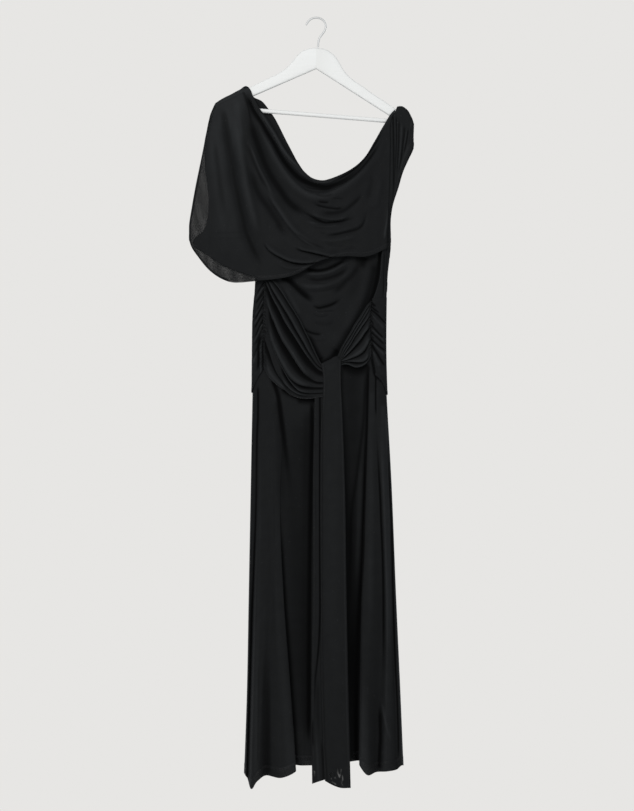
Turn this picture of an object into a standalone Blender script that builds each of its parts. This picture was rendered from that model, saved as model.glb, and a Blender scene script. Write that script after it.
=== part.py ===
"""A draped one-sleeve jersey maxi dress hanging on a wooden clothes hanger.

Millimetres in every table, metres in the scene. +Z is up, the front faces -Y and +X is the right of
someone looking at the front. The origin is the inside top of the hook, where the hanger hangs.

Each cut piece of cloth is a sheet: a grid whose points a function places, with a Solidify modifier.
Most sheets are a patch between four edges in the X-Z plane, and a depth towards the front or the back.
"""

import math

import bmesh
import bpy
import numpy as np

MM = 0.001
CLOTH = 1.0  # thickness of a sheet
SEAM = 0.3  # clear gap left between two pieces that are sewn together
HALF_GAP = (CLOTH + SEAM) / 2  # from the middle plane to a sheet's middle, where front meets back
JERSEY_COLOUR = (0.018, 0.018, 0.020)
JERSEY_ROUGHNESS = 0.78

# ---------------------------------------------------------------- hanger, in its own frame before it tilts
TILT = 4.6  # degrees, right side lower
WOOD_X = 7.0  # middle of the wooden body
WOOD_TOP = -63.5
WOOD_THICK = 13.0
LOWER_APEX, LOWER_SLOPE = 45.0, 0.5326
ARM_ROWS = [  # distance from the middle, depth of the upper edge below the top
    (0, 0), (10, 0.6), (20, 3), (29, 7.5), (37, 13), (43, 20), (49, 28), (60, 44), (74, 57), (87, 66),
    (100, 73), (127, 89.5), (152, 103), (180, 119), (205, 133),
]
ARM_TIP_ROWS = [(210, 137.5, 154.5), (213.5, 141.5, 152.5), (215, 145.5, 149.5)]  # distance, upper, lower
WIRE = 4.0
HOOK_ROWS = [  # x, z of the wire's middle, from the free tip to the end in the wood
    (-21.9, -14.5), (-18.5, -7.5), (-12.1, -1.4), (-6.0, 1.3), (0.0, 2.0), (6.5, 1.0), (13.5, -2.6),
    (19.0, -9.5),
    (20.3, -17.0), (17.8, -26.0), (12.7, -34.5), (8.6, -42.0), (7.1, -50.0), (7.0, -60.0), (7.0, -83.2),
]
HOOK_HOLE = 20.0
BAR = 9.0
BAR_Z = -208.0
BAR_REACH = 203.0  # half its length
HOLE_PLAY = 0.3

# ---------------------------------------------------------------- the tube of the body under the drapes
BODY_ROWS = [  # z, left, right, depth in front, depth behind
    (-180, -140.0, 160.0, 5.0, 5.5),
    (-330, -136.0, 154.0, 7.0, 8.0),
    (-430, -136.0, 151.0, 9.5, 10.5),
    (-500, -132.0, 150.5, 13.0, 14.0),
    (-567, -129.0, 147.0, 17.0, 17.0),
    (-640, -134.5, 145.5, 20.0, 20.0),
    (-740, -136.0, 144.5, 23.0, 23.0),
    (-820, -137.0, 145.5, 24.0, 24.0),
    (-900, -138.5, 149.0, 24.0, 24.0),
]
BODY_POWER = 2.5
SKIRT_OUT = 1.7  # the skirt lies outside the bodice where they lap
WRAP_OUT = 4.5  # the hip wrap lies outside the skirt
LINING_BEHIND = 1.7  # from one layer's middle to the next, where layers are sewn along the neck

# ---------------------------------------------------------------- edges of the cut pieces, as x, z rows
LEFT_SHOULDER = [(-222, -181), (-203, -171), (-186, -163), (-168, -153.5), (-150, -145.6)]
FRONT_NECK = [
    (-145, -153), (-138, -169), (-121, -197), (-108, -241), (-82, -288), (-54, -321), (-30, -340), (2, -351),
    (28, -349), (60, -336), (89, -316), (110, -292), (127, -262), (145, -230), (160, -206), (169, -197),
]
BACK_NECK = [
    (-146, -152), (-138, -167), (-119, -178), (-106, -193), (-93, -210), (-76, -243), (-58, -277),
    (-41, -305),
    (-24, -328), (-2, -347), (30, -354), (62, -343), (92, -323), (113, -299), (131, -269), (149, -236),
    (163, -212),
    (170, -198),
]
CAP_TOP = [(173, -190.5), (181, -189.5), (192, -195), (203, -211), (209, -228)]
ARM_SEAM = [
    (-222, -181), (-233, -202), (-241, -245), (-247, -284), (-254, -323), (-262, -362), (-270, -407),
    (-276, -446),
    (-276, -478),
]
SLEEVE_HEM = [(-276, -478), (-272, -491), (-255, -517), (-233, -543), (-216, -556), (-192, -567)]
FRONT_HEM = SLEEVE_HEM + [
    (-134, -568), (-91, -565), (-58, -559), (-30, -547), (-4, -531), (28, -519), (60, -516), (110, -515),
    (125, -510),
    (145, -500), (153, -496),
]
BACK_HEM = SLEEVE_HEM + [(-134, -566), (-60, -560), (0, -550), (60, -541), (110, -530), (157, -517)]
FRONT_SIDE = [(169, -197), (160.5, -219), (158, -273), (157, -327), (154, -424), (153, -496)]
CAP_SIDE = [
    (209, -228), (208, -255), (208, -281), (197, -305), (187, -327), (175, -366), (162, -409),
    (159, -431), (159, -489),
]
LINING_TOP = [
    (-200, -180), (-175, -167), (-153, -156), (-144, -167), (-136, -180), (-119, -206), (-106, -248),
    (-80, -294),
    (-53, -327), (-30, -346), (2, -357), (28, -355), (58, -342), (86, -323), (105, -303), (122, -275),
    (140, -240),
    (149, -226),
]
LINING_SIDE = [(-200, -180), (-222, -235), (-238, -305), (-234, -353), (-238, -437), (-248, -466), (-266, -497)]
LINING_HEM = [
    (-266, -497), (-240, -530), (-199, -552), (-134, -564), (-91, -561), (-58, -555), (-30, -543),
    (-4, -527), (28, -513),
    (60, -510), (110, -509), (138, -492),
]
LINING_RIGHT = [(149, -226), (147, -273), (146, -327), (143, -424), (138, -492)]
BODICE_FRONT_TOP = [
    (-110, -243), (-82, -291), (-54, -324), (-30, -343), (2, -354), (28, -352), (60, -339), (88, -320),
    (107, -300),
    (124, -272), (142, -238),
]
# Side seams that the two bodices share
LOWER_LEFT = [(-136, -430), (-132, -500), (-129, -567), (-134.5, -640), (-136, -743)]
LOWER_RIGHT = [(152, -380), (151, -430), (150.5, -500), (147, -567), (145.5, -640), (144.5, -738)]
BODICE_FRONT_LEFT = [(-110, -243), (-124, -300), (-134, -370)] + LOWER_LEFT
BODICE_FRONT_RIGHT = [(142, -238), (149, -300)] + LOWER_RIGHT
BODICE_BACK_TOP = [
    (-117, -182), (-105, -196), (-92, -213), (-75, -246), (-57, -280), (-40, -308), (-23, -331), (-2, -350),
    (30, -357), (61, -346), (90, -327), (110, -303), (128, -274), (146, -242),
]
BODICE_BACK_LEFT = [(-117, -182), (-122, -250), (-131, -330)] + LOWER_LEFT
BODICE_BACK_RIGHT = [(146, -242), (150, -300)] + LOWER_RIGHT
PANEL_INNER = [
    (173, -190.5), (171, -197), (165, -207), (156, -226), (152, -273), (151, -327), (148, -424),
    (144, -480), (140, -504),
    (133, -569), (119, -610),
]
PANEL_OUTER = CAP_SIDE + [(153.5, -543), (150, -608)]
WAIST_ROWS = [  # x, z of the skirt's top
    (-140, -735), (-60, -742), (5, -750), (30, -748), (51, -742), (83, -735), (148, -730),
]
WAIST_LAP = 8.0  # how far the bodice runs down inside the skirt

# Where a front sheet meets a back one: x, z, width of the rounding, distance of each from the middle plane
LEFT_CLOSING = [
    (-150, -145.6, 7, 0.65), (-168, -153.5, 7, 0.65), (-186, -163, 7, 0.65), (-203, -171, 7, 0.65),
    (-222, -181, 7, 0.65),
    (-233, -202, 8, 0.65), (-241, -245, 20, 0.65), (-247, -284, 26, 0.65), (-254, -323, 30, 0.65),
    (-262, -362, 30, 0.65),
    (-270, -407, 30, 0.65), (-276, -446, 30, 0.65), (-276, -478, 30, 0.65),
]
RIGHT_CLOSING = [
    (173, -190.5, 7, 0.65), (181, -189.5, 7, 0.65), (192, -195, 7, 0.65), (203, -211, 7, 0.65),
    (209, -228, 7, 0.8),
    (208, -255, 8, 2.8), (208, -281, 9, 3.8), (197, -305, 10, 3.8), (187, -327, 12, 3.8),
    (175, -366, 12, 3.0),
    (162, -409, 12, 1.6), (159, -431, 12, 0.65), (159, -489, 12, 0.65), (153.5, -543, 12, 0.65),
    (150, -608, 10, 0.65),
]

# Depth of the overlay's two sheets, by x (columns) and z (rows)
DEPTH_X = (-270, -200, -130, -60, 10, 80, 150)
DEPTH_Z = (-150, -210, -300, -400, -500, -570)
FRONT_DEPTH = [
    (9.6, 9.6, 9.6, 9.8, 10.0, 9.8, 9.6),
    (9.6, 9.6, 9.8, 11.0, 12.0, 11.0, 9.7),
    (8.5, 12.0, 15.0, 18.0, 19.0, 17.0, 11.0),
    (8.0, 14.0, 20.0, 25.0, 27.0, 24.0, 13.5),
    (8.0, 15.0, 24.0, 31.0, 33.0, 30.0, 17.0),
    (9.0, 16.0, 28.0, 34.0, 36.0, 33.0, 19.0),
]
BACK_DEPTH = [
    (8.4, 8.4, 8.4, 8.8, 9.2, 8.8, 8.4),
    (8.6, 8.8, 9.2, 10.0, 11.0, 10.0, 9.0),
    (8.5, 11.0, 13.0, 15.0, 15.0, 14.0, 10.5),
    (8.0, 12.0, 17.0, 20.0, 21.0, 19.0, 13.0),
    (8.0, 14.0, 21.0, 25.0, 26.0, 24.0, 17.0),
    (9.0, 15.0, 23.0, 27.0, 28.0, 26.0, 19.0),
]

# Folds laid on a sheet: path as x, z points, height (+ stands proud, - sinks), width above, width below
OVERLAY_FOLDS = [
    (((-130, -225), (-92, -312), (5, -383), (98, -333), (138, -285)), -6.0, 10, 12),
    (((-140, -202), (-102, -281), (-40, -368), (32, -406), (110, -385)), 5.0, 16, 18),
    (((-196, -247), (-182, -326), (-147, -461), (-123, -530)), -5.0, 20, 22),
    (((-178, -200), (-150, -330), (-118, -430), (-90, -500)), 5.0, 20, 20),
    (((-60, -488), (-20, -503), (30, -511), (90, -508)), 5.0, 20, 8),
    (((-96, -497), (-47, -522), (10, -527)), -7.0, 10, 14),
]
BACK_FOLDS = [
    (((-150, -230), (-90, -360), (10, -430), (100, -390), (150, -300)), -4.0, 16, 14),
    (((-185, -230), (-160, -380), (-110, -520)), -5.0, 22, 22),
    (((-120, -300), (-30, -450), (60, -480), (130, -430)), 4.0, 20, 20),
]
BODICE_FOLDS = [
    (((-19, -544), (9, -546), (41, -537), (70, -518)), -3.5, 9, 9),
    (((-58, -572), (0, -590), (55, -570), (88, -535)), 4.0, 12, 12),
    (((-76, -574), (-37, -601), (-5, -624), (30, -622), (56, -602)), -6.0, 12, 12),
    (((112, -515), (88, -600), (50, -680), (28, -725)), 6.0, 26, 26),
    (((-60, -640), (0, -668), (45, -655)), 3.0, 14, 14),
]

# Valleys of the draped swags, from the ruched seam to the knot, with the height of the fold below each
LEFT_VALLEYS = [  # path as x, z points, height of the fold between this valley and the next
    (((-112.5, -556), (-92, -571), (-60, -608), (-30, -660), (-5, -712), (9, -746), (20, -752)), 5.0),
    (((-112.7, -562), (-97, -577), (-68, -622), (-37, -675), (-12, -718), (6, -748), (20, -756)), 7.0),
    (((-112.9, -569), (-101, -583), (-74, -628), (-44, -680), (-17, -724), (5, -753), (20, -761)), 10.0),
    (((-113.2, -583), (-103, -604), (-84, -640), (-56, -686), (-24, -734), (4, -762), (20, -768)), 11.0),
    (((-113.5, -615), (-104, -642), (-87, -682), (-60, -722), (-28, -756), (2, -774), (20, -778)), 11.0),
    (((-113.7, -648), (-106, -682), (-92, -718), (-72, -750), (-42, -774), (-2, -790), (20, -792)), 11.0),
    (((-113.8, -684), (-108, -714), (-96, -742), (-78, -768), (-52, -793), (-2, -808), (20, -808)), 9.0),
    (((-113.5, -756), (-106, -769), (-94, -785), (-74, -803), (-47, -818), (-2, -818), (20, -817)), 0.0),
]
RIGHT_VALLEYS = [
    (((118, -610), (104, -632), (85, -666), (64, -702), (46, -730), (38, -738)), 4.0),
    (((116.7, -627), (104, -645), (87, -672), (67, -707), (50, -733), (38, -742)), 6.0),
    (((115.4, -640), (106, -655), (90, -681), (70, -714), (53, -736), (38, -745)), 7.0),
    (((114.5, -659), (105, -678), (88, -704), (72, -725), (55, -740), (38, -749)), 8.0),
    (((115.0, -690), (107, -708), (92, -728), (76, -739), (56, -744), (38, -752)), 7.0),
    (((117.0, -721), (112, -737), (96, -750), (78, -753), (56, -748), (38, -756)), 0.0),
]
# Share of the way to the knot, distance outside the body
SWAG_BASE = [(0.0, 4.5), (0.3, 6.0), (0.7, 9.0), (0.86, 12.0), (1.0, 13.0)]

# z, x of the ruched seams
LEFT_RUCHE = [
    (-556, -113.0), (-571, -113.0), (-597, -114.2), (-638, -114.2), (-661, -116), (-684, -114.5),
    (-707, -116),
    (-756, -114.0),
]
RIGHT_RUCHE = [(-610, 118.5), (-638, 116.0), (-661, 115.0), (-684, 116.5), (-707, 116.8), (-721, 117.5)]

# Folds of the skirt, left to right: x at the hip, x at four heights, depth at the same four, height of the hem
SKIRT_HEIGHTS = (-1000, -1235, -1470, -1640)
SKIRT_FRONT = [
    # x_hip,   x at -1000, -1235,  -1470,  hem,     depth at -1000, ..., hem,       z_hem
    (-138.3, -142.6, -147.0, -151.5, -157.5, 0.65, 0.65, 0.65, 0.65, -1630),  # side seam
    (-136.5, -139.0, -143.5, -148.5, -153.5, 9.0, 13.0, 17.0, 20.0, -1634),  # narrow fold at the side
    (-133.0, -131.0, -136.5, -144.0, -148.0, 11.0, 12.0, 13.0, 15.0, -1636),  # its valley
    (-126.0, -124.0, -129.0, -135.0, -139.5, 22.0, 30.0, 38.0, 44.0, -1658),  # corner of the broad fold
    (-112.0, -110.0, -113.0, -120.0, -125.0, 25.0, 34.0, 43.0, 49.0, -1646),
    (-96.0, -95.0, -97.0, -107.0, -109.0, 25.0, 32.0, 37.0, 40.0, -1634),  # shallow dip in it
    (-80.0, -78.0, -86.0, -78.0, -78.0, 27.0, 36.0, 45.0, 51.0, -1639),
    (-66.0, -60.0, -74.0, -53.0, -48.0, 27.0, 36.0, 44.0, 49.0, -1624),  # its right edge
    (-58.0, -62.0, -77.0, -58.0, -54.0, 22.0, 24.0, 24.0, 24.0, -1617),  # tucked in behind the edge
    (-36.0, -36.0, -42.0, -36.0, -33.0, 20.0, 18.0, 17.0, 17.0, -1617),
    (-8.0, -14.0, -14.0, -15.0, -14.0, 21.0, 21.0, 21.0, 22.0, -1617),  # beside the sash
    (28.0, 32.0, 34.0, 36.0, 38.0, 21.0, 23.0, 25.0, 27.0, -1612),
    (62.0, 66.0, 70.0, 74.0, 77.0, 19.0, 15.0, 12.0, 10.0, -1608),  # deep shade
    (92.0, 104.0, 100.0, 96.0, 97.0, 19.0, 15.0, 14.0, 14.0, -1608),  # tucked in behind the edge
    (105.0, 101.0, 96.0, 92.0, 92.0, 26.0, 34.0, 42.0, 48.0, -1614),  # left edge of the right fold
    (114.0, 114.0, 112.0, 107.0, 107.0, 29.0, 38.0, 46.0, 52.0, -1631),
    (124.0, 129.5, 137.0, 132.0, 126.0, 25.0, 29.0, 33.0, 34.0, -1623),  # shaded valley
    (133.0, 143.0, 151.0, 150.0, 148.0, 27.0, 35.0, 43.0, 48.0, -1629),
    (139.0, 153.0, 161.0, 166.0, 171.0, 13.0, 15.0, 19.0, 22.0, -1629),  # narrow valley
    (142.8, 158.5, 167.0, 176.0, 182.0, 9.0, 13.0, 17.0, 19.0, -1617),  # outer fold
    (145.2, 160.5, 170.0, 180.5, 187.5, 0.65, 0.65, 0.65, 0.65, -1613),  # side seam
]
SKIRT_BACK = [
    (-138.3, -142.6, -147.0, -151.5, -157.5, 0.65, 0.65, 0.65, 0.65, -1630),
    (-133.0, -137.0, -141.0, -146.0, -150.0, 14.0, 18.0, 22.0, 26.0, -1634),
    (-120.0, -122.0, -124.0, -127.0, -129.0, 16.0, 16.0, 16.0, 16.0, -1630),
    (-100.0, -102.0, -106.0, -110.0, -112.0, 28.0, 38.0, 46.0, 52.0, -1640),
    (-74.0, -76.0, -78.0, -80.0, -80.0, 22.0, 22.0, 22.0, 22.0, -1632),
    (-48.0, -46.0, -48.0, -52.0, -52.0, 29.0, 38.0, 47.0, 53.0, -1642),
    (-20.0, -22.0, -20.0, -20.0, -18.0, 24.0, 24.0, 22.0, 20.0, -1634),
    (8.0, 8.0, 10.0, 12.0, 14.0, 30.0, 40.0, 48.0, 55.0, -1642),
    (34.0, 36.0, 38.0, 42.0, 44.0, 24.0, 24.0, 24.0, 24.0, -1634),
    (62.0, 64.0, 70.0, 76.0, 80.0, 28.0, 37.0, 46.0, 52.0, -1640),
    (88.0, 94.0, 98.0, 104.0, 108.0, 22.0, 20.0, 20.0, 20.0, -1630),
    (112.0, 118.0, 126.0, 132.0, 138.0, 27.0, 34.0, 42.0, 48.0, -1634),
    (130.0, 140.0, 147.0, 154.0, 160.0, 16.0, 18.0, 18.0, 18.0, -1624),
    (141.5, 155.0, 163.0, 172.0, 178.0, 13.0, 17.0, 21.0, 24.0, -1618),
    (145.2, 160.5, 170.0, 180.5, 187.5, 0.65, 0.65, 0.65, 0.65, -1613),
]

SASH_TOP = [(9, -746), (26, -738), (43, -730.5), (51, -739)]
SASH_LEFT = [(9, -746), (12, -762), (8.5, -880), (7.3, -997), (8.4, -1256), (10.4, -1472), (18, -1648)]
SASH_RIGHT = [(51, -739), (50.5, -762), (55, -880), (59, -997), (63, -1256), (67.2, -1472), (73, -1663)]
SASH_HEM = [(18, -1648), (34, -1653), (50, -1660), (73, -1663)]
UNDER_TOP = [(2, -768), (20, -766), (36, -766)]
UNDER_LEFT = [(2, -768), (-3, -800), (-6, -880), (-8, -997), (-9, -1256), (-12, -1472), (-11, -1653)]
UNDER_RIGHT = [(36, -766), (36, -800), (38, -880), (39, -997), (38, -1256), (38, -1472), (40, -1640)]
UNDER_HEM = [(-11, -1653), (14, -1648), (40, -1640)]
SASH_DEPTH = [(-730, 38.4), (-770, 38.6), (-820, 39.6), (-900, 39.4), (-1200, 40.0), (-1670, 43.0)]  # z, depth
UNDER_DEPTH = [(-766, 35.0), (-800, 34.4), (-900, 34.4), (-1200, 36.0), (-1670, 38.5)]

# Edges of the hip wrap, from the left ruched seam round the back to the right one: share, z
WRAP_TOP = [(0, -557), (0.1, -558), (0.5, -580), (0.82, -608.6), (0.9, -609.4), (1, -610.6)]
WRAP_BOTTOM = [
    (0, -757), (0.06, -785), (0.12, -806), (0.5, -820), (0.87, -811), (0.92, -790), (0.97, -760), (1, -722),
]
RUCHE_PERIOD = 27.0
RUCHE_HEIGHT = 1.6
RUCHE_SLANT = 60.0
RUCHE_REACH = 0.09  # share of the wrap that the gathers of a ruched seam reach over
CAP_GATHERS = 4.5  # waves across the gathered shoulder
CAP_GATHER_HEIGHT = 2.6


# ---------------------------------------------------------------- curves and fields
class Smooth:
    """A smooth line through values given at rising keys."""

    def __init__(self, keys, values):
        self.keys = np.array(keys, float)
        self.values = np.array(values, float)
        self.slopes = np.gradient(self.values, self.keys, axis=0)

    def at(self, key):
        key = np.clip(np.asarray(key, float), self.keys[0], self.keys[-1])
        i = np.clip(np.searchsorted(self.keys, key, side="right") - 1, 0, len(self.keys) - 2)
        step = self.keys[i + 1] - self.keys[i]
        t = (key - self.keys[i]) / step
        if self.values.ndim > 1:
            t, step = t[..., None], step[..., None]
        a, b = self.values[i], self.values[i + 1]
        m, n = self.slopes[i] * step, self.slopes[i + 1] * step
        return a + t * (m + t * (3 * (b - a) - 2 * m - n + t * (2 * (a - b) + m + n)))


def line(rows):
    """A smooth curve through x, z rows, read by the share of its length."""
    points = np.array(rows, float)
    lengths = np.concatenate([[0.0], np.cumsum(np.linalg.norm(np.diff(points, axis=0), axis=1))])
    return Smooth(lengths / lengths[-1], points)


def by_height(rows):
    """The other columns of a table, read by its first column, z, which falls."""
    table = np.array(rows, float)[::-1]
    return Smooth(table[:, 0], table[:, 1:])


def field(columns, rows, values):
    """A smooth surface over x and z through a table of values."""
    over_x = Smooth(columns, np.eye(len(columns)))
    over_z = Smooth(rows[::-1], np.eye(len(rows)))
    table = np.array(values[::-1], float)

    def at(x, z):
        return np.einsum("...i,...j,ji->...", over_x.at(x), over_z.at(z), table)

    return at


def ease(value, start, end):
    """0 before start, 1 after end, and smooth between them."""
    t = np.clip((np.asarray(value, float) - start) / (end - start), 0, 1)
    return t * t * (3 - 2 * t)


def nearest(x, z, path):
    """Distance to a path of x, z points, its side (+ above or left), and the share of the way along it."""
    start, leg = path[:-1, :2], np.diff(path[:, :2], axis=0)
    length = np.linalg.norm(leg, axis=1)
    before = np.concatenate([[0.0], np.cumsum(length)])
    best = np.full(x.shape, np.inf)
    side = np.ones(x.shape)
    along = np.zeros(x.shape)
    for i in range(len(leg)):
        dx, dz = x - start[i, 0], z - start[i, 1]
        t = np.clip((dx * leg[i, 0] + dz * leg[i, 1]) / length[i] ** 2, 0, 1)
        distance = np.hypot(dx - t * leg[i, 0], dz - t * leg[i, 1])
        closer = distance < best
        best = np.where(closer, distance, best)
        side = np.where(closer, np.sign(leg[i, 0] * dz - leg[i, 1] * dx), side)
        along = np.where(closer, (before[i] + t * length[i]) / before[-1], along)
    return best, side, along


def folds(x, z, table):
    """Sum of the folds in a table, each fading out at both ends of its path."""
    total = np.zeros(x.shape)
    for points, height, above, below in table:
        path = line(points).at(np.linspace(0, 1, 16))
        distance, side, along = nearest(x, z, path)
        width = np.where(side > 0, above, below)
        total += height * np.exp(-((distance / width) ** 2)) * np.sin(np.pi * np.clip(along, 0, 1)) ** 0.9
    return total


def closing(x, z, rows):
    """How far a sheet has left the edge where front and back meet (0 to 1), and its gap at that edge."""
    table = np.array(rows, float)
    distance, _, along = nearest(x, z, table)
    lengths = np.concatenate([[0.0], np.cumsum(np.linalg.norm(np.diff(table[:, :2], axis=0), axis=1))])
    roll = np.interp(along, lengths / lengths[-1], table[:, 2])
    gap = np.interp(along, lengths / lengths[-1], table[:, 3])
    return np.sqrt(1 - (1 - np.clip(distance / roll, 0, 1)) ** 2), gap


def patch(top, bottom, left, right):
    """Points between four edges: u runs from left to right and v from top to bottom."""
    top, bottom, left, right = line(top), line(bottom), line(left), line(right)
    corners = [edge.at(end) for edge, end in ((top, 0.0), (top, 1.0), (bottom, 0.0), (bottom, 1.0))]

    def at(u, v):
        a, b = u[..., None], v[..., None]
        across = (1 - b) * top.at(u) + b * bottom.at(u)
        down = (1 - a) * left.at(v) + a * right.at(v)
        both = (1 - b) * ((1 - a) * corners[0] + a * corners[1]) + b * ((1 - a) * corners[2] + a * corners[3])
        xz = across + down - both
        return xz[..., 0], xz[..., 1]

    return at


# ---------------------------------------------------------------- depths
BODY = by_height(BODY_ROWS)


def body_depth(x, z, out=0.0, behind=False):
    """Depth of the body's tube at x, z, standing out by `out` all round."""
    shape = BODY.at(z)
    middle, half = (shape[..., 0] + shape[..., 1]) / 2, (shape[..., 1] - shape[..., 0]) / 2
    depth = shape[..., 3] if behind else shape[..., 2]
    share = np.clip(np.abs(x - middle) / (half + out), 0, 1)
    return HALF_GAP + (depth + out) * (1 - share**BODY_POWER) ** (1 / BODY_POWER)


front_field = field(DEPTH_X, DEPTH_Z, FRONT_DEPTH)
back_field = field(DEPTH_X, DEPTH_Z, BACK_DEPTH)


def overlay_base(x, z):
    """Depth of the overlay's front without its folds."""
    open_share, gap = closing(x, z, LEFT_CLOSING)
    return gap + (front_field(x, z) - gap) * open_share


def lining_depth(x, z):
    """Sewn close behind the overlay along the neck, and clear of its folds below."""
    below, _, _ = nearest(x, z, np.array(FRONT_NECK, float))
    low = ease(-z, 520, 560)
    free = ease(below, 0, 26) * ease(-z, 225, 300)
    return (1 - 0.3 * free * (1 - low) - 0.1 * low) * overlay_base(x, z) - LINING_BEHIND


def overlay_depth(x, z):
    open_share, gap = closing(x, z, LEFT_CLOSING)
    return gap + (front_field(x, z) + folds(x, z, OVERLAY_FOLDS) - gap) * open_share


def overlay_back_depth(x, z):
    left, left_gap = closing(x, z, LEFT_CLOSING)
    right, right_gap = closing(x, z, RIGHT_CLOSING)
    gap = np.where(left < right, left_gap, right_gap)
    return gap + (back_field(x, z) + folds(x, z, BACK_FOLDS) - gap) * left * right


# ---------------------------------------------------------------- the sheets, each as x, y, z from u and v
def overlay_front(u, v):
    x, z = patch(LEFT_SHOULDER + FRONT_NECK, FRONT_HEM, ARM_SEAM, FRONT_SIDE)(u, v)
    return x, -overlay_depth(x, z), z


def overlay_back(u, v):
    x, z = patch(LEFT_SHOULDER + BACK_NECK + CAP_TOP, BACK_HEM, ARM_SEAM, CAP_SIDE + [(157, -517)])(u, v)
    return x, overlay_back_depth(x, z), z


def overlay_lining(u, v):
    x, z = patch(LINING_TOP, LINING_HEM, LINING_SIDE, LINING_RIGHT)(u, v)
    return x, -lining_depth(x, z), z


def bodice_front(u, v):
    bottom = [(x, z - WAIST_LAP) for x, z in waist(-136, 144.5)]
    x, z = patch(BODICE_FRONT_TOP, bottom, BODICE_FRONT_LEFT, BODICE_FRONT_RIGHT)(u, v)
    below, _, _ = nearest(x, z, np.array(FRONT_NECK, float))
    hung = lining_depth(x, z) - LINING_BEHIND - 0.2
    free = body_depth(x, z) + folds(x, z, BODICE_FOLDS)
    share = ease(below, 14, 70)
    return x, -(hung * (1 - share) + free * share), z


def bodice_back(u, v):
    bottom = [(x, z - WAIST_LAP) for x, z in waist(-136, 144.5)]
    x, z = patch(BODICE_BACK_TOP, bottom, BODICE_BACK_LEFT, BODICE_BACK_RIGHT)(u, v)
    share = ease(v, 0.0, 0.2)
    return x, (back_field(x, z) - LINING_BEHIND) * (1 - share) + body_depth(x, z, behind=True) * share, z


def waist(left, right):
    table = np.array(WAIST_ROWS, float)
    across = Smooth(table[:, 0], table[:, 1])
    return [(x, float(across.at(x))) for x in np.linspace(left, right, 9)]


def right_panel(u, v):
    """The gathered right shoulder, which runs on as the strip down the right side."""
    x, z = patch(CAP_TOP, [PANEL_INNER[-1], PANEL_OUTER[-1]], PANEL_INNER, PANEL_OUTER)(u, v)
    open_share, gap = closing(x, z, RIGHT_CLOSING)
    fade = ease(u, 0.1, 0.35) * (1 - ease(u, 0.88, 1.0)) * (1 - ease(-z, 300, 400))
    gathers = CAP_GATHER_HEIGHT * fade * (0.5 - 0.5 * np.cos(2 * np.pi * CAP_GATHERS * u))
    upper = gap + (front_field(x, z) - LINING_BEHIND + gathers - gap) * open_share
    lower = body_depth(x, z, WRAP_OUT)
    share = ease(-z, 430, 560)
    return x, -(upper * (1 - share) + lower * share), z


def swag(valleys, reach):
    """A fan of folds from a ruched seam (u = 0) to the knot (u = 1); v crosses the folds."""
    paths = [line(points) for points, _ in valleys]
    heights = [height for _, height in valleys]
    base = Smooth(*zip(*SWAG_BASE))

    def at(u, v):
        place = np.clip(v * (len(paths) - 1), 0, len(paths) - 1)
        number = np.clip(np.floor(place).astype(int), 0, len(paths) - 2)
        within = place - number
        points = np.stack([path.at(u) for path in paths])
        upper = np.take_along_axis(points, number[None, ..., None], 0)[0]
        lower = np.take_along_axis(points, number[None, ..., None] + 1, 0)[0]
        xz = upper * (1 - within[..., None]) + lower * within[..., None]
        x, z = xz[..., 0], xz[..., 1]
        height = np.array(heights)[number] * np.sin(np.pi * np.clip(u / reach, 0, 1)) ** 0.7
        return x, -(body_depth(x, z) + base.at(u) + height * np.sin(np.pi * within) ** 0.8), z

    return at


left_swag = swag(LEFT_VALLEYS, 0.88)
right_swag = swag(RIGHT_VALLEYS, 0.86)


def hip_wrap(u, v):
    """From the left ruched seam round the left side, the back and the right side to the right ruched seam."""
    left_x, right_x = by_height(LEFT_RUCHE), by_height(RIGHT_RUCHE)
    top = np.interp(u, *np.array(WRAP_TOP, float).T)
    bottom = np.interp(u, *np.array(WRAP_BOTTOM, float).T)
    z = top + (bottom - top) * v
    shape = BODY.at(z)
    middle, half = (shape[..., 0] + shape[..., 1]) / 2, (shape[..., 1] - shape[..., 0]) / 2 + WRAP_OUT

    def turn(x):
        return np.arccos(np.clip(np.abs(x - middle) / half, 0, 1) ** (BODY_POWER / 2))

    start = np.pi - turn(left_x.at(z)[..., 0] - 0.5)
    end = 2 * np.pi + turn(right_x.at(z)[..., 0] + 0.5)
    angle = start + (end - start) * u
    c, s = np.cos(angle), np.sin(angle)
    x = middle + half * np.sign(c) * np.abs(c) ** (2 / BODY_POWER)
    depth = np.where(s > 0, shape[..., 2], shape[..., 3]) + WRAP_OUT + HALF_GAP
    from_seam = np.minimum(u, 1 - u)
    near_seam = np.exp(-((from_seam / RUCHE_REACH) ** 2)) * ease(from_seam, 0, 0.03)
    ruche = RUCHE_HEIGHT * near_seam * np.sin(2 * np.pi * (z - RUCHE_SLANT * from_seam) / RUCHE_PERIOD)
    depth = depth + np.maximum(ruche, -RUCHE_HEIGHT / 2)
    return x, -depth * np.sign(s) * np.abs(s) ** (2 / BODY_POWER), z


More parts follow.
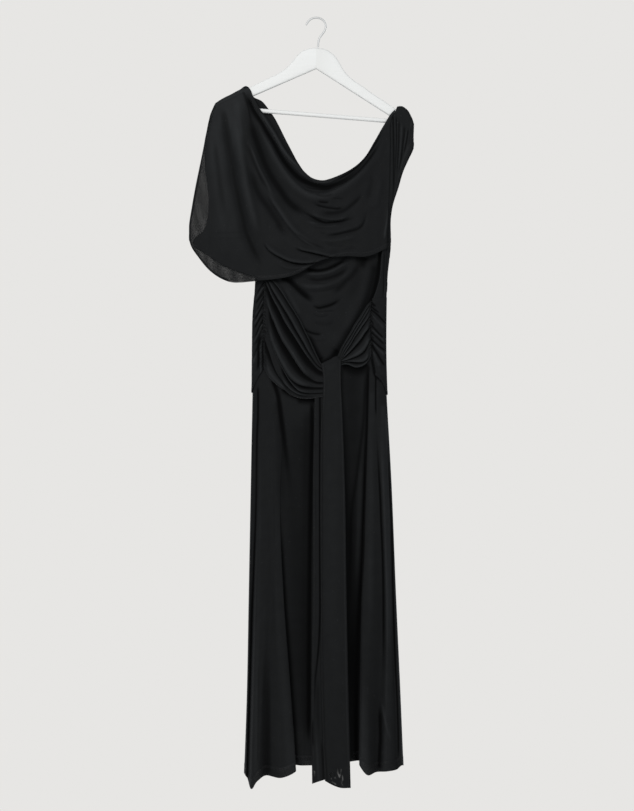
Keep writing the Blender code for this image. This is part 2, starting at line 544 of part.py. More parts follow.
def skirt(table, behind):
    """Cross-sections of a fold table, from the waist, where it lies on the body, to the hem."""
    rows = np.array(table, float)
    place = np.arange(len(rows)) / (len(rows) - 1)
    hip, hem = Smooth(place, rows[:, 0]), Smooth(place, rows[:, 9])
    across = Smooth(place, rows[:, 1:9])
    waist_line = Smooth(*np.array(WAIST_ROWS, float).T)
    down = Smooth([-h for h in (-740, -850) + SKIRT_HEIGHTS], np.eye(6))

    def at(u, v):
        x_hip, columns = hip.at(u), across.at(u)
        top = waist_line.at(x_hip)
        z = top + (hem.at(u) - top) * v
        weights = down.at(-z)
        early = x_hip + 0.15 * (columns[..., 0] - x_hip)
        xs = np.stack([x_hip, early] + [columns[..., i] for i in range(4)], axis=-1)
        x = (weights * xs).sum(axis=-1)
        edge = rows[0, 5]
        upper = edge + 0.6 * (columns[..., 4] - edge)
        ys = np.stack([upper, upper] + [columns[..., 4 + i] for i in range(4)], axis=-1)
        hung = (weights * ys).sum(axis=-1)
        share = ease(-z, 815, 1000)
        depth = body_depth(x, z, SKIRT_OUT, behind) * (1 - share) + hung * share
        return x, (depth if behind else -depth), z

    return at


def sash(top, hem, left, right, depths, bow):
    shape = patch(top, hem, left, right)
    depth = by_height(depths)

    def at(u, v):
        x, z = shape(u, v)
        return x, -(depth.at(z)[..., 0] + bow * np.sin(np.pi * u) * ease(-z, 780, 950)), z

    return at


# ---------------------------------------------------------------- making objects
def material(name, colour, roughness, metallic=0.0):
    made = bpy.data.materials.new(name)
    made.use_nodes = True
    shader = made.node_tree.nodes["Principled BSDF"]
    shader.inputs["Base Color"].default_value = (*colour, 1.0)
    shader.inputs["Roughness"].default_value = roughness
    shader.inputs["Metallic"].default_value = metallic
    made.diffuse_color = (*colour, 1.0)
    return made


def add(name, data, collection, finish=None, parent=None):
    made = bpy.data.objects.new(name, data)
    collection.objects.link(made)
    made.parent = parent
    if finish is not None:
        data.materials.append(finish)
    return made


def grid_mesh(name, at, us, vs):
    """A grid whose points the function places, us and vs being the shares at its columns and rows."""
    us, vs = np.asarray(us, float), np.asarray(vs, float)
    bm = bmesh.new()
    bmesh.ops.create_grid(bm, x_segments=len(us) - 1, y_segments=len(vs) - 1, size=0.5)
    places = np.array([vert.co[:2] for vert in bm.verts])
    columns = np.rint((places[:, 0] + 0.5) * (len(us) - 1)).astype(int)
    rows = np.rint((places[:, 1] + 0.5) * (len(vs) - 1)).astype(int)
    x, y, z = at(us[columns], vs[rows])
    for vert, point in zip(bm.verts, np.stack([x, y, z], axis=-1) * MM):
        vert.co = point
    mesh = bpy.data.meshes.new(name)
    bm.to_mesh(mesh)
    bm.free()
    return mesh


def cloth(name, at, us, vs, finish, collection):
    made = add(name, grid_mesh(name, at, us, vs), collection, finish)
    solid = made.modifiers.new("Cloth thickness", "SOLIDIFY")
    solid.thickness = CLOTH * MM
    solid.offset = 0.0
    solid.use_even_offset = True
    solid.use_quality_normals = True
    return made


def lofted_mesh(name, at, stations, around):
    """A closed body: a grid rolled into a tube whose long edges are welded and whose ends are filled."""
    mesh = grid_mesh(name, at, stations, np.linspace(0, 1, around + 1))
    bm = bmesh.new()
    bm.from_mesh(mesh)
    bmesh.ops.remove_doubles(bm, verts=bm.verts, dist=1e-6)
    bmesh.ops.holes_fill(bm, edges=[edge for edge in bm.edges if edge.is_boundary], sides=0)
    bmesh.ops.recalc_face_normals(bm, faces=bm.faces)
    bm.to_mesh(mesh)
    bm.free()
    return mesh


def wire(name, points, diameter, finish, collection, parent, sides=2):
    """A round rod along x, z points in the hanger's frame."""
    data = bpy.data.curves.new(name, "CURVE")
    data.dimensions = "3D"
    data.bevel_depth = diameter / 2 * MM
    data.bevel_resolution = sides
    data.use_fill_caps = True
    spline = data.splines.new("POLY")
    spline.points.add(len(points) - 1)
    for target, (x, z) in zip(spline.points, points):
        target.co = (x * MM, 0.0, z * MM, 1.0)
    return add(name, data, collection, finish, parent)


def cylinder(name, diameter, length, place, rotation, collection, parent):
    mesh = bpy.data.meshes.new(name)
    bm = bmesh.new()
    bmesh.ops.create_cone(
        bm, cap_ends=True, segments=20, radius1=diameter / 2 * MM, radius2=diameter / 2 * MM, depth=length * MM
    )
    bm.to_mesh(mesh)
    bm.free()
    made = add(name, mesh, collection, parent=parent)
    made.location = [value * MM for value in place]
    made.rotation_euler = rotation
    return made


def wood_section(u, v):
    """The wooden body: u runs from the left tip to the right tip and v round its section."""
    rows = np.array([(d, top, LOWER_APEX + LOWER_SLOPE * d) for d, top in ARM_ROWS] + ARM_TIP_ROWS, float)
    arm = Smooth(rows[:, 0], rows[:, 1:])
    reach = (2 * u - 1) * ARM_TIP_ROWS[-1][0]
    edges = arm.at(np.abs(reach))
    middle, half = edges.mean(axis=-1), (edges[..., 1] - edges[..., 0]) / 2
    angle = 2 * np.pi * v
    c, s = np.cos(angle), np.sin(angle)
    tip = np.sqrt(np.clip((ARM_TIP_ROWS[-1][0] + 0.6 - np.abs(reach)) / 7.0, 0.12, 1))
    y = WOOD_THICK / 2 * tip * np.sign(c) * np.abs(c) ** 0.5
    return WOOD_X + reach, y, WOOD_TOP - middle + half * np.sign(s) * np.abs(s) ** 0.5


def make_hanger(collection, cutters):
    pivot = bpy.data.objects.new("hanger_pivot", None)
    collection.objects.link(pivot)
    pivot.rotation_euler = (0.0, math.radians(TILT), 0.0)
    white = material("hanger_white_paint", (0.86, 0.86, 0.85), 0.38)
    steel = material("hook_steel", (0.62, 0.62, 0.61), 0.28, 1.0)

    reaches = [distance for distance, *_ in ARM_ROWS + ARM_TIP_ROWS]
    tip = reaches[-1]
    stations = [0.5 + r / tip / 2 for r in [-d for d in reaches[:0:-1]] + reaches]
    wood = add("hanger_body", lofted_mesh("hanger_body", wood_section, stations, 16), collection, white, pivot)
    along_x = (0, math.pi / 2, 0)
    hook_hole, bar_hole = WIRE + 2 * HOLE_PLAY, BAR + 2 * HOLE_PLAY
    deep = BAR_REACH + HOLE_PLAY
    holes = [
        cylinder("hole_for_hook", hook_hole, 2 * HOOK_HOLE, (WOOD_X, 0, WOOD_TOP), (0, 0, 0), cutters, pivot),
        cylinder("hole_for_bar", bar_hole, 2 * deep, (WOOD_X, 0, BAR_Z), along_x, cutters, pivot),
    ]
    for hole in holes:
        cut = wood.modifiers.new(hole.name, "BOOLEAN")
        cut.operation = "DIFFERENCE"
        cut.solver = "EXACT"
        cut.object = hole
        hole.display_type = "WIRE"

    hook_points = line(HOOK_ROWS).at(np.linspace(0, 1, 26))
    wire("hanger_hook", hook_points, WIRE, steel, collection, pivot, sides=3)
    bar = cylinder("hanger_bar", BAR, 2 * BAR_REACH, (WOOD_X, 0, BAR_Z), along_x, collection, pivot)
    bar.data.materials.append(white)


def make_dress(collection):
    tie = sash(SASH_TOP, SASH_HEM, SASH_LEFT, SASH_RIGHT, SASH_DEPTH, 2.0)
    under_tie = sash(UNDER_TOP, UNDER_HEM, UNDER_LEFT, UNDER_RIGHT, UNDER_DEPTH, 0.5)
    # name, sheet, shares of its columns, shares of its rows; both are closer together where the sheet turns
    sheets = [
        (
            "overlay_front", overlay_front,
            [0, 0.007, 0.02, 0.06, 0.11, 0.148, 0.156, 0.165, 0.18, *np.linspace(0.23, 0.77, 10), 0.84, 0.92,
             1],
            [0, 0.008, 0.02, 0.06, 0.13, 0.21, 0.3, 0.4, 0.5, 0.6, 0.7, 0.79, 0.86, 0.93, 1],
        ),
        (
            "overlay_back", overlay_back,
            [0, 0.006, 0.018, 0.06, 0.12, 0.135, 0.15, *np.linspace(0.22, 0.76, 7), 0.84, 0.87, 0.895, 0.91,
             0.94, 0.975, 0.99, 1],
            [0, 0.008, 0.02, 0.07, 0.17, 0.3, 0.45, 0.6, 0.75, 0.88, 1],
        ),
        (
            "overlay_lining", overlay_lining, np.linspace(0, 1, 14),
            [0, 0.04, 0.1, 0.18, 0.3, 0.45, 0.6, 0.75, 0.88, 1],
        ),
        (
            "bodice_front", bodice_front, np.linspace(0, 1, 13),
            [0, 0.025, 0.06, 0.12, 0.22, 0.38, 0.5, 0.56, 0.61, 0.66, 0.71, 0.76, 0.83, 1],
        ),
        ("bodice_back", bodice_back, np.linspace(0, 1, 13), np.linspace(0, 1, 9)),
        (
            "right_panel", right_panel,
            [0, *np.linspace(0.12, 0.78, 7), 0.88, 0.95, 1],
            [0, 0.008, 0.02, 0.05, 0.1, 0.2, 0.3, 0.42, 0.55, 0.68, 0.8, 0.9, 1],
        ),
        ("hip_wrap", hip_wrap, np.linspace(0, 1, 23), np.linspace(0, 1, 12)),
        ("left_swag", left_swag, np.linspace(0, 1, 8), np.linspace(0, 1, 22)),
        ("right_swag", right_swag, np.linspace(0, 1, 8), np.linspace(0, 1, 16)),
        (
            "skirt_front", skirt(SKIRT_FRONT, False), np.linspace(0, 1, 41),
            [0, 0.1, 0.2, 0.3, 0.42, 0.55, 0.68, 0.8, 0.9, 1],
        ),
        (
            "skirt_back", skirt(SKIRT_BACK, True), np.linspace(0, 1, 29),
            [0, 0.1, 0.2, 0.3, 0.45, 0.6, 0.75, 0.88, 1],
        ),
        ("sash_front", tie, np.linspace(0, 1, 6), np.linspace(0, 1, 12)),
        ("sash_under", under_tie, np.linspace(0, 1, 5), np.linspace(0, 1, 12)),
    ]
    for name, at, us, vs in sheets:
        finish = material(name + "_jersey", JERSEY_COLOUR, JERSEY_ROUGHNESS)
        cloth(name, at, us, vs, finish, collection)


def main():
    for old in list(bpy.data.objects):
        bpy.data.objects.remove(old, do_unlink=True)
    scene = bpy.context.scene
    dress = bpy.data.collections.new("draped_maxi_dress_on_hanger")
    cutters = bpy.data.collections.new("cutters")
    scene.collection.children.link(dress)
    scene.collection.children.link(cutters)
    cutters.hide_render = True
    make_hanger(dress, cutters)
    make_dress(dress)
    bpy.context.view_layer.update()


main()
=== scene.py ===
"""The looks of a draped one-sleeve jersey maxi dress that hangs on a white wooden clothes hanger.

Every table is in millimetres and every finished mesh in metres. +Z is up, the front faces -Y and +X is the
right of someone looking at the front. The origin is the inside top of the hook.

A piece of cloth is a sheet: a grid whose points a class places, with a thin wall. A crease is a path in the
X-Z plane with a height, a width on each side, a lap by which its crest slides down over the cloth below, and
the depth of the painted shade that stands in for the shadow that gathers in it; a negative shade is a painted
highlight. Tables of creases and valleys are laid out as text, a row for each fold: its sizes, then its path
as x,z points.
"""

import logging
import math
from dataclasses import dataclass, field
from enum import Enum
from typing import Callable, NamedTuple, Sequence

import bpy
import numpy as np
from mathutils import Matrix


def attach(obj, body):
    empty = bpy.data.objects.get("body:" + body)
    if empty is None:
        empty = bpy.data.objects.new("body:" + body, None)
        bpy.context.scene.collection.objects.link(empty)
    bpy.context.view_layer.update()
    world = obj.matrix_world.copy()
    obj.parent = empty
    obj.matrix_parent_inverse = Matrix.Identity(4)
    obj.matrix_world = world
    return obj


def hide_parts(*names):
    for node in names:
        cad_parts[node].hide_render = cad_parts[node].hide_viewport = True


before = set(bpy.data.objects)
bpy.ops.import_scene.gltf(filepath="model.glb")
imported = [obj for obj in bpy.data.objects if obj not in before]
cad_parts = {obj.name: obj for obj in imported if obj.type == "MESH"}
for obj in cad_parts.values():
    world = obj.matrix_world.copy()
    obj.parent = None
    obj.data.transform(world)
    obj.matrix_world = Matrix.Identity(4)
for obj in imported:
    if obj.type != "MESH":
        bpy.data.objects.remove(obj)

LOG = logging.getLogger("dress")
Array = np.ndarray
Rows = Sequence[tuple[float, ...]]

MM = 0.001
WALL = 0.8  # jersey
HEM_WALL = 1.5  # jersey turned over and stitched
LAYER = 1.3  # from the middle of one layer to the middle of the next
HALF_GAP = 0.3  # the edges of front and back meet
BAR_LINE = (-16.7, -207.3, -0.0805)  # the trouser bar's middle line: x and z of a point, and the slope
WOOD_LINE = (-4.0, -110.0, -0.46)  # the lower edge of the hanger's arms: its middle, and the slope beside it
BAR_CLEAR, WOOD_CLEAR = 6.3, 7.7  # depth at which cloth lies over them
NECK_REACH = 26.0  # the lining follows the overlay's neck within this distance
NECK_HEIGHTS = (225.0, 300.0)  # below the hook, the lining comes free of the overlay from here to here
HEM_HEIGHTS = (520.0, 560.0)  # and it comes back to it from here to here
SLACK, HEM_SLACK = 0.3, 0.1  # share of its depth by which it hangs back between them, and at the hem
SEWN_EDGE = (1.8, 3.2)  # the sleeve's sewn edge ends between these distances
LINING_FADE = 1.6  # the sheer zone begins over this distance past the lining
SHEER_FROM_X, SHEER_FROM_Z = (126.0, 130.0), (190.0, 195.0)  # only left of and below these
REACH_SHARE = 2.6  # a crease is felt this many widths away
PATH_STEPS = 5  # steps from one given point of its path to the next
BAND_POWER = 2.4  # how abruptly its shade ends


# ---------------------------------------------------------------- curves and fields
class Smooth:
    """A smooth line through values given at rising keys."""

    def __init__(self, keys: Sequence[float], values: Sequence) -> None:
        """Fits the line.

        Args:
            keys: Rising numbers.
            values: A value, or a row of them, at each key.
        """
        self.keys = np.array(keys, float)
        self.values = np.array(values, float)
        self.slopes = np.gradient(self.values, self.keys, axis=0)

    def at(self, key: Array | float) -> Array:
        """Reads the line.

        Args:
            key: Where to read it.

        Returns:
            The value or row of values there.
        """
        key = np.clip(np.asarray(key, float), self.keys[0], self.keys[-1])
        i = np.clip(np.searchsorted(self.keys, key, side="right") - 1, 0, len(self.keys) - 2)
        step = self.keys[i + 1] - self.keys[i]
        t = (key - self.keys[i]) / step
        if self.values.ndim > 1:
            t, step = t[..., None], step[..., None]
        a, b = self.values[i], self.values[i + 1]
        m, n = self.slopes[i] * step, self.slopes[i + 1] * step
        return a + t * (m + t * (3 * (b - a) - 2 * m - n + t * (2 * (a - b) + m + n)))


def travelled(points: Array) -> Array:
    """Distance along a path at each of its points."""
    return np.concatenate([[0.0], np.cumsum(np.linalg.norm(np.diff(points, axis=0), axis=1))])


def line(rows: Rows) -> Smooth:
    """Makes a smooth curve through points, read by the share of its length.

    Args:
        rows: x and z of each point.

    Returns:
        The curve.
    """
    points = np.array(rows, float)
    lengths = travelled(points)
    return Smooth(lengths / lengths[-1], points)


def by_height(rows: Rows) -> Smooth:
    """The other columns of a table, read by its first column, z, which falls."""
    table = np.array(rows, float)[::-1]
    return Smooth(table[:, 0], table[:, 1:])


def surface_over(
    columns: Sequence[float], rows: Sequence[float], values: Rows,
) -> Callable[[Array, Array], Array]:
    """A smooth surface over x and z through a table of values.

    Args:
        columns: x of each column.
        rows: z of each row, falling.
        values: The table.

    Returns:
        A function of x and z.
    """
    over_x = Smooth(columns, np.eye(len(columns)))
    over_z = Smooth(rows[::-1], np.eye(len(rows)))
    table = np.array(values[::-1], float)

    def at(x: Array, z: Array) -> Array:
        """Reads the surface."""
        return np.einsum("...i,...j,ji->...", over_x.at(x), over_z.at(z), table)

    return at


def ease(value: Array | float, start: float, end: float) -> Array:
    """0 before start, 1 after end, and smooth between them."""
    t = np.clip((np.asarray(value, float) - start) / (end - start), 0, 1)
    return t * t * (3 - 2 * t)


class Foot(NamedTuple):
    """Where points stand beside a path."""

    distance: Array
    side: Array  # + on the left hand of someone walking the path
    along: Array  # share of the path's length
    normal_x: Array  # towards the left hand
    normal_z: Array


def beside(x: Array, z: Array, path: Array) -> Foot:
    """Finds the nearest place on a path.

    Args:
        x: Points across.
        z: Points up.
        path: The path's x, z points.

    Returns:
        The distance, side, share of the length and normal of the nearest place.
    """
    leg = np.diff(path[:, :2], axis=0)
    length = np.linalg.norm(leg, axis=1)
    before = np.concatenate([[0.0], np.cumsum(length)])
    run = np.gradient(path[:, :2], before, axis=0)
    run /= np.linalg.norm(run, axis=1)[:, None]
    best = np.full(x.shape, np.inf)
    side, along, nx, nz = np.ones(x.shape), np.zeros(x.shape), np.zeros(x.shape), np.ones(x.shape)
    for i, (ax, az) in enumerate(leg):
        dx, dz = x - path[i, 0], z - path[i, 1]
        t = np.clip((dx * ax + dz * az) / length[i] ** 2, 0, 1)
        distance = np.hypot(dx - t * ax, dz - t * az)
        closer = distance < best
        best = np.where(closer, distance, best)
        side = np.where(closer, np.where(ax * dz - az * dx < 0, -1.0, 1.0), side)
        along = np.where(closer, (before[i] + t * length[i]) / before[-1], along)
        nx = np.where(closer, -(run[i, 1] * (1 - t) + run[i + 1, 1] * t), nx)
        nz = np.where(closer, run[i, 0] * (1 - t) + run[i + 1, 0] * t, nz)
    return Foot(best, side, along, nx, nz)


def patch(top: Rows, bottom: Rows, left: Rows, right: Rows) -> Callable[[Array, Array], tuple[Array, Array]]:
    """Points between four edges.

    Args:
        top: Upper edge, from left to right.
        bottom: Lower edge, from left to right.
        left: Left edge, from top to bottom.
        right: Right edge, from top to bottom.

    Returns:
        A function from shares u (left to right) and v (top to bottom) to x and z.
    """
    edges = [line(rows) for rows in (top, bottom, left, right)]
    corners = [edge.at(end) for edge, end in zip(edges[:1] * 2 + edges[1:2] * 2, (0.0, 1.0) * 2)]

    def at(u: Array, v: Array) -> tuple[Array, Array]:
        """Places points between the edges.

        Args:
            u: Share across, from left to right.
            v: Share down.

        Returns:
            x and z of each point.
        """
        a, b = u[..., None], v[..., None]
        across = (1 - b) * edges[0].at(u) + b * edges[1].at(u)
        down = (1 - a) * edges[2].at(v) + a * edges[3].at(v)
        both = (1 - b) * ((1 - a) * corners[0] + a * corners[1]) + b * ((1 - a) * corners[2] + a * corners[3])
        xz = across + down - both
        return xz[..., 0], xz[..., 1]

    return at


# ---------------------------------------------------------------- creases
@dataclass(frozen=True)
class Crease:
    """One fold or valley drawn on a sheet."""

    path: Rows
    height: float = 0.0  # + stands proud, - sinks
    above: float = 8.0  # width on the left hand of the path
    below: float = 8.0
    lap: float = 0.0  # how far it slides to the right hand of the path
    shade: float = 0.0  # painted shade: how dark it is, - for a painted highlight
    band: tuple[float, float] = (3.0, 3.0)  # width of the painted shade on each side
    ends: tuple[float, float] = (0.25, 0.25)  # share of the path over which each end fades


class Valley(NamedTuple):
    """A valley of a swag, and the fold below it."""

    path: Rows  # from the ruched seam to the knot
    height: float  # of the fold below
    start: float  # where along the way it starts
    end: float
    # depth of the valley's painted shade
    dark: float
    cover: float  # share of the fold that the valley's painted shade covers


class Relief(NamedTuple):
    """What the creases do at each point."""

    rise: Array
    slide_x: Array
    slide_z: Array
    shade: Array


def relief(x: Array, z: Array, folds: Sequence[Crease]) -> Relief:
    """Adds up creases.

    Args:
        x: Points across.
        z: Points up.
        folds: The creases.

    Returns:
        Their height, slide and painted shade at each point.
    """
    x, z = np.broadcast_arrays(np.asarray(x, float), np.asarray(z, float))
    rise, slide_x, slide_z, shade = (np.zeros(x.shape) for _ in range(4))
    for crease in folds:
        path = line(crease.path).at(np.linspace(0, 1, PATH_STEPS * (len(crease.path) + 1) + 1))
        reach = REACH_SHARE * max(crease.above, crease.below, *crease.band)
        near = (x > path[:, 0].min() - reach) & (x < path[:, 0].max() + reach)
        near &= (z > path[:, 1].min() - reach) & (z < path[:, 1].max() + reach)
        if not near.any():
            continue
        foot = beside(x[near], z[near], path)
        fade = ease(foot.along, -0.001, crease.ends[0]) * (1 - ease(foot.along, 1 - crease.ends[1], 1.001))
        width = np.where(foot.side > 0, crease.above, crease.below)
        profile = fade * np.exp(-((foot.distance / width) ** 2))
        rise[near] += crease.height * profile
        slide_x[near] -= crease.lap * profile * foot.normal_x
        slide_z[near] -= crease.lap * profile * foot.normal_z
        # painted shade along the crease; a negative shade paints a highlight
        band = np.where(foot.side > 0, *crease.band)
        dark = crease.shade * fade * np.exp(-((foot.distance / band) ** BAND_POWER))
        shade[near] = 1 - (1 - shade[near]) * (1 - dark)
    return Relief(rise, slide_x, slide_z, shade)


def rows_of(table: str) -> list[tuple[list[float], Rows]]:
    """Reads a table of folds.

    Args:
        table: Each row has its sizes, then "|" and its path as x,z points, which may run on over the next
            lines. A line that starts with "#" is a note.

    Returns:
        The sizes and the path of each row.
    """
    rows: list[str] = []
    for text in table.splitlines():
        if text.strip().startswith("#"):
            continue
        if "|" in text:
            rows.append(text)
        elif rows:
            rows[-1] += text
    split = [row.split("|") for row in rows]
    return [([float(part) for part in sizes.split()], pairs_of(places)) for sizes, places in split]


def pairs_of(places: str) -> list[tuple[float, ...]]:
    """Reads points written as x,z pairs."""
    return [tuple(float(part) for part in place.split(",")) for place in places.split()]


def creases(table: str) -> list[Crease]:
    """Reads a table of creases.

    Args:
        table: The sizes are height, width above, width below, lap, painted shade, the two widths of the
            shade's band and the two ends. The ends, or the band and the ends, may be left out.

    Returns:
        The creases.
    """
    made = []
    for sizes, path in rows_of(table):
        pairs = (tuple(sizes[i:i + 2]) for i in range(5, len(sizes), 2))
        made.append(Crease(path, *sizes[:5], *pairs))
    return made


def valleys(table: str) -> list[Valley]:
    """Reads a table of valleys, whose sizes are height, start, end, dark (the depth of its painted shade) and
    cover.
    """
    return [Valley(path, *sizes) for sizes, path in rows_of(table)]


# ---------------------------------------------------------------- the body under the drapes
BODY_ROWS = [  # z, left, right, depth in front, depth behind
    (-180, -140, 160, 5, 5.5),
    (-330, -136, 154, 7, 8),
    (-430, -136, 151, 9.5, 10.5),
    (-500, -132, 150.5, 13, 14),
    (-567, -129, 147, 17, 17),
    (-640, -134.5, 145.5, 20, 20),
    (-740, -136, 145.5, 23, 23),
    (-820, -137, 148, 24, 24),
    (-900, -138.5, 151.5, 24, 24),
]
BODY_POWER = 2.5  # roundness of its section
SKIRT_OUT, WRAP_OUT = 1.7, 4.5  # how far outside the body the skirt and the hip wrap lie
LINING_BEHIND = 1.7  # from the overlay to what lies behind it
VALLEYS_DEEPEN = (205.0, 262.0)  # below the hook, the overlay's valleys come in from here to here

LEFT_SHOULDER = [(-219, -183), (-203, -173), (-186, -164.5), (-168, -155), (-150, -147.5)]
FRONT_NECK = pairs_of("""
    -145,-153 -138,-169 -125,-193 -115,-208 -105,-222 -97,-236 -88,-251 -80,-264 -74,-276 -67,-288 -59,-299
    -51,-308 -42,-317 -32,-328 -22,-338 -12,-346 2,-351 14,-352 28,-348.5 45,-342 60,-335 89,-316 110,-292
    127,-262 145,-230 160,-206 169,-197
""")
BACK_NECK = pairs_of("""
    -146,-152 -138,-167 -119,-177 -107,-191 -95,-208 -84,-227 -74,-247 -66,-263 -56,-282 -47,-299 -39,-314
    -26,-331 -4,-349 30,-354 62,-343 92,-323 113,-299 131,-269 149,-236 163,-212 170,-198
""")
CAP_TOP = [(173, -190.5), (181, -189.5), (192, -195), (203, -211), (209, -228)]
ARM_SEAM = pairs_of("""
    -219,-183 -228,-202 -238.5,-245 -246,-284 -254,-323 -262,-362 -270,-407 -276,-446 -276,-478
""")
SLEEVE_HEM = [(-276, -478), (-272, -491), (-255, -517), (-233, -543), (-216, -556), (-192, -567)]
FRONT_HEM = SLEEVE_HEM + pairs_of("""
    -134,-568 -91,-565 -58,-559 -30,-547 -4,-531 28,-519 60,-516 110,-515 125,-510 145,-500 153,-496
""")
BACK_HEM = SLEEVE_HEM + [(-134, -566), (-60, -560), (0, -550), (60, -541), (110, -530), (157, -517)]
FRONT_SIDE = [(169, -197), (160.5, -219), (158, -273), (157, -327), (154, -424), (153, -496)]
CAP_SIDE = pairs_of("209,-228 208,-255 208,-281 197,-305 187,-327 175,-366 162,-409 159,-431 159,-489")
LINING_TOP = pairs_of("""
    -216,-185 -175,-167 -153,-156 -144,-167 -136,-180 -119,-210 -101,-240 -78,-280 -56,-312 -34,-335 2,-357
    28,-355 58,-342 86,-323 105,-303 122,-275 140,-240 149,-226
""")
LINING_SIDE = pairs_of("""
    -216,-185 -224,-205 -231,-231 -237,-258 -242,-291 -241.5,-322 -237,-354 -234,-385 -234,-417 -239,-446
    -246,-461 -255,-468 -263,-474 -267,-483 -266,-493
""")
LINING_HEM = pairs_of("""
    -266,-493 -250,-503 -235,-512.5 -219.5,-523 -203.5,-534 -172,-547 -140,-557.5 -115,-560 -91,-560
    -58,-555 -30,-543 -4,-527 28,-513 60,-510 110,-509 138,-492
""")
LINING_RIGHT = [(149, -226), (147, -273), (146, -327), (143, -424), (138, -492)]
BODICE_FRONT_TOP = pairs_of("""
    -110,-243 -82,-291 -54,-324 -30,-343 2,-354 28,-352 60,-339 88,-320 107,-300 124,-272 142,-238
""")
LOWER_LEFT = [(-136, -430), (-132, -500), (-129, -567), (-134.5, -640), (-136, -743)]
LOWER_RIGHT = [(152, -380), (151, -430), (150.5, -500), (147, -567), (145.5, -640), (144.5, -738)]
BODICE_FRONT_LEFT = [(-110, -243), (-124, -300), (-134, -370)] + LOWER_LEFT
BODICE_FRONT_RIGHT = [(142, -238), (149, -300)] + LOWER_RIGHT
BODICE_BACK_TOP = pairs_of("""
    -117,-182 -105,-196 -92,-213 -75,-246 -57,-280 -40,-311 -23,-334 -2,-352 30,-357 61,-346 90,-327
    110,-303 128,-274 146,-242
""")
BODICE_BACK_LEFT = [(-117, -182), (-122, -250), (-131, -330)] + LOWER_LEFT
BODICE_BACK_RIGHT = [(146, -242), (150, -300)] + LOWER_RIGHT
PANEL_INNER = pairs_of("""
    173,-190.5 171,-197 165,-207 156,-226 152,-273 151,-327 148,-424 144,-480 140,-504 133,-569 119,-610
""")
PANEL_OUTER = CAP_SIDE + [(153.5, -543), (150, -608)]
# x, z
WAIST_ROWS = [(-140, -735), (-60, -742), (5, -750), (30, -748), (51, -742), (83, -735), (148, -730)]
WAIST_LAP = 8.0  # how far the bodice goes on below the waistline
# Where a front sheet meets a back one: x, z, width of the rounding, distance of each from the middle plane
LEFT_CLOSING = [
    (x, z, roll, HALF_GAP)
    for (x, z), roll in zip(
        LEFT_SHOULDER[::-1] + ARM_SEAM[1:],
        (7, 7, 7, 7, 7, 8, 20, 26, 30, 30, 30, 30, 30),
    )
]
RIGHT_CLOSING = [
    (x, z, roll, gap)
    for (x, z), roll, gap in zip(
        CAP_TOP + PANEL_OUTER[1:],
        (7, 7, 7, 7, 7, 8, 9, 10, 12, 12, 12, 12, 12, 12, 10),
        (0.3, 0.3, 0.3, 0.3, 0.8, 2.8, 3.8, 3.8, 3.8, 3.0, 1.6, 0.3, 0.3, 0.3, 0.3),
    )
]
DEPTH_X = (-270, -200, -130, -60, 10, 80, 150)
DEPTH_Z = (-150, -210, -300, -400, -500, -570)
FRONT_DEPTH = [
    (9.6, 9.6, 9.6, 9.8, 10, 9.8, 9.6),
    (9.6, 9.6, 9.8, 11, 12, 11, 9.7),
    (8.5, 12, 15, 18, 19, 17, 11),
    (8, 14, 20, 25, 27, 24, 13.5),
    (8, 15, 24, 31, 33, 30, 17),
    (9, 16, 28, 34, 36, 33, 19),
]
BACK_DEPTH = [
    (8.4, 8.4, 8.4, 8.8, 9.2, 8.8, 8.4),
    (8.6, 8.8, 9.2, 10, 11, 10, 9),
    (8.5, 11, 13, 15, 15, 14, 10.5),
    (8, 12, 17, 20, 21, 19, 13),
    (8, 14, 21, 25, 26, 24, 17),
    (9, 15, 23, 27, 28, 26, 19),
]
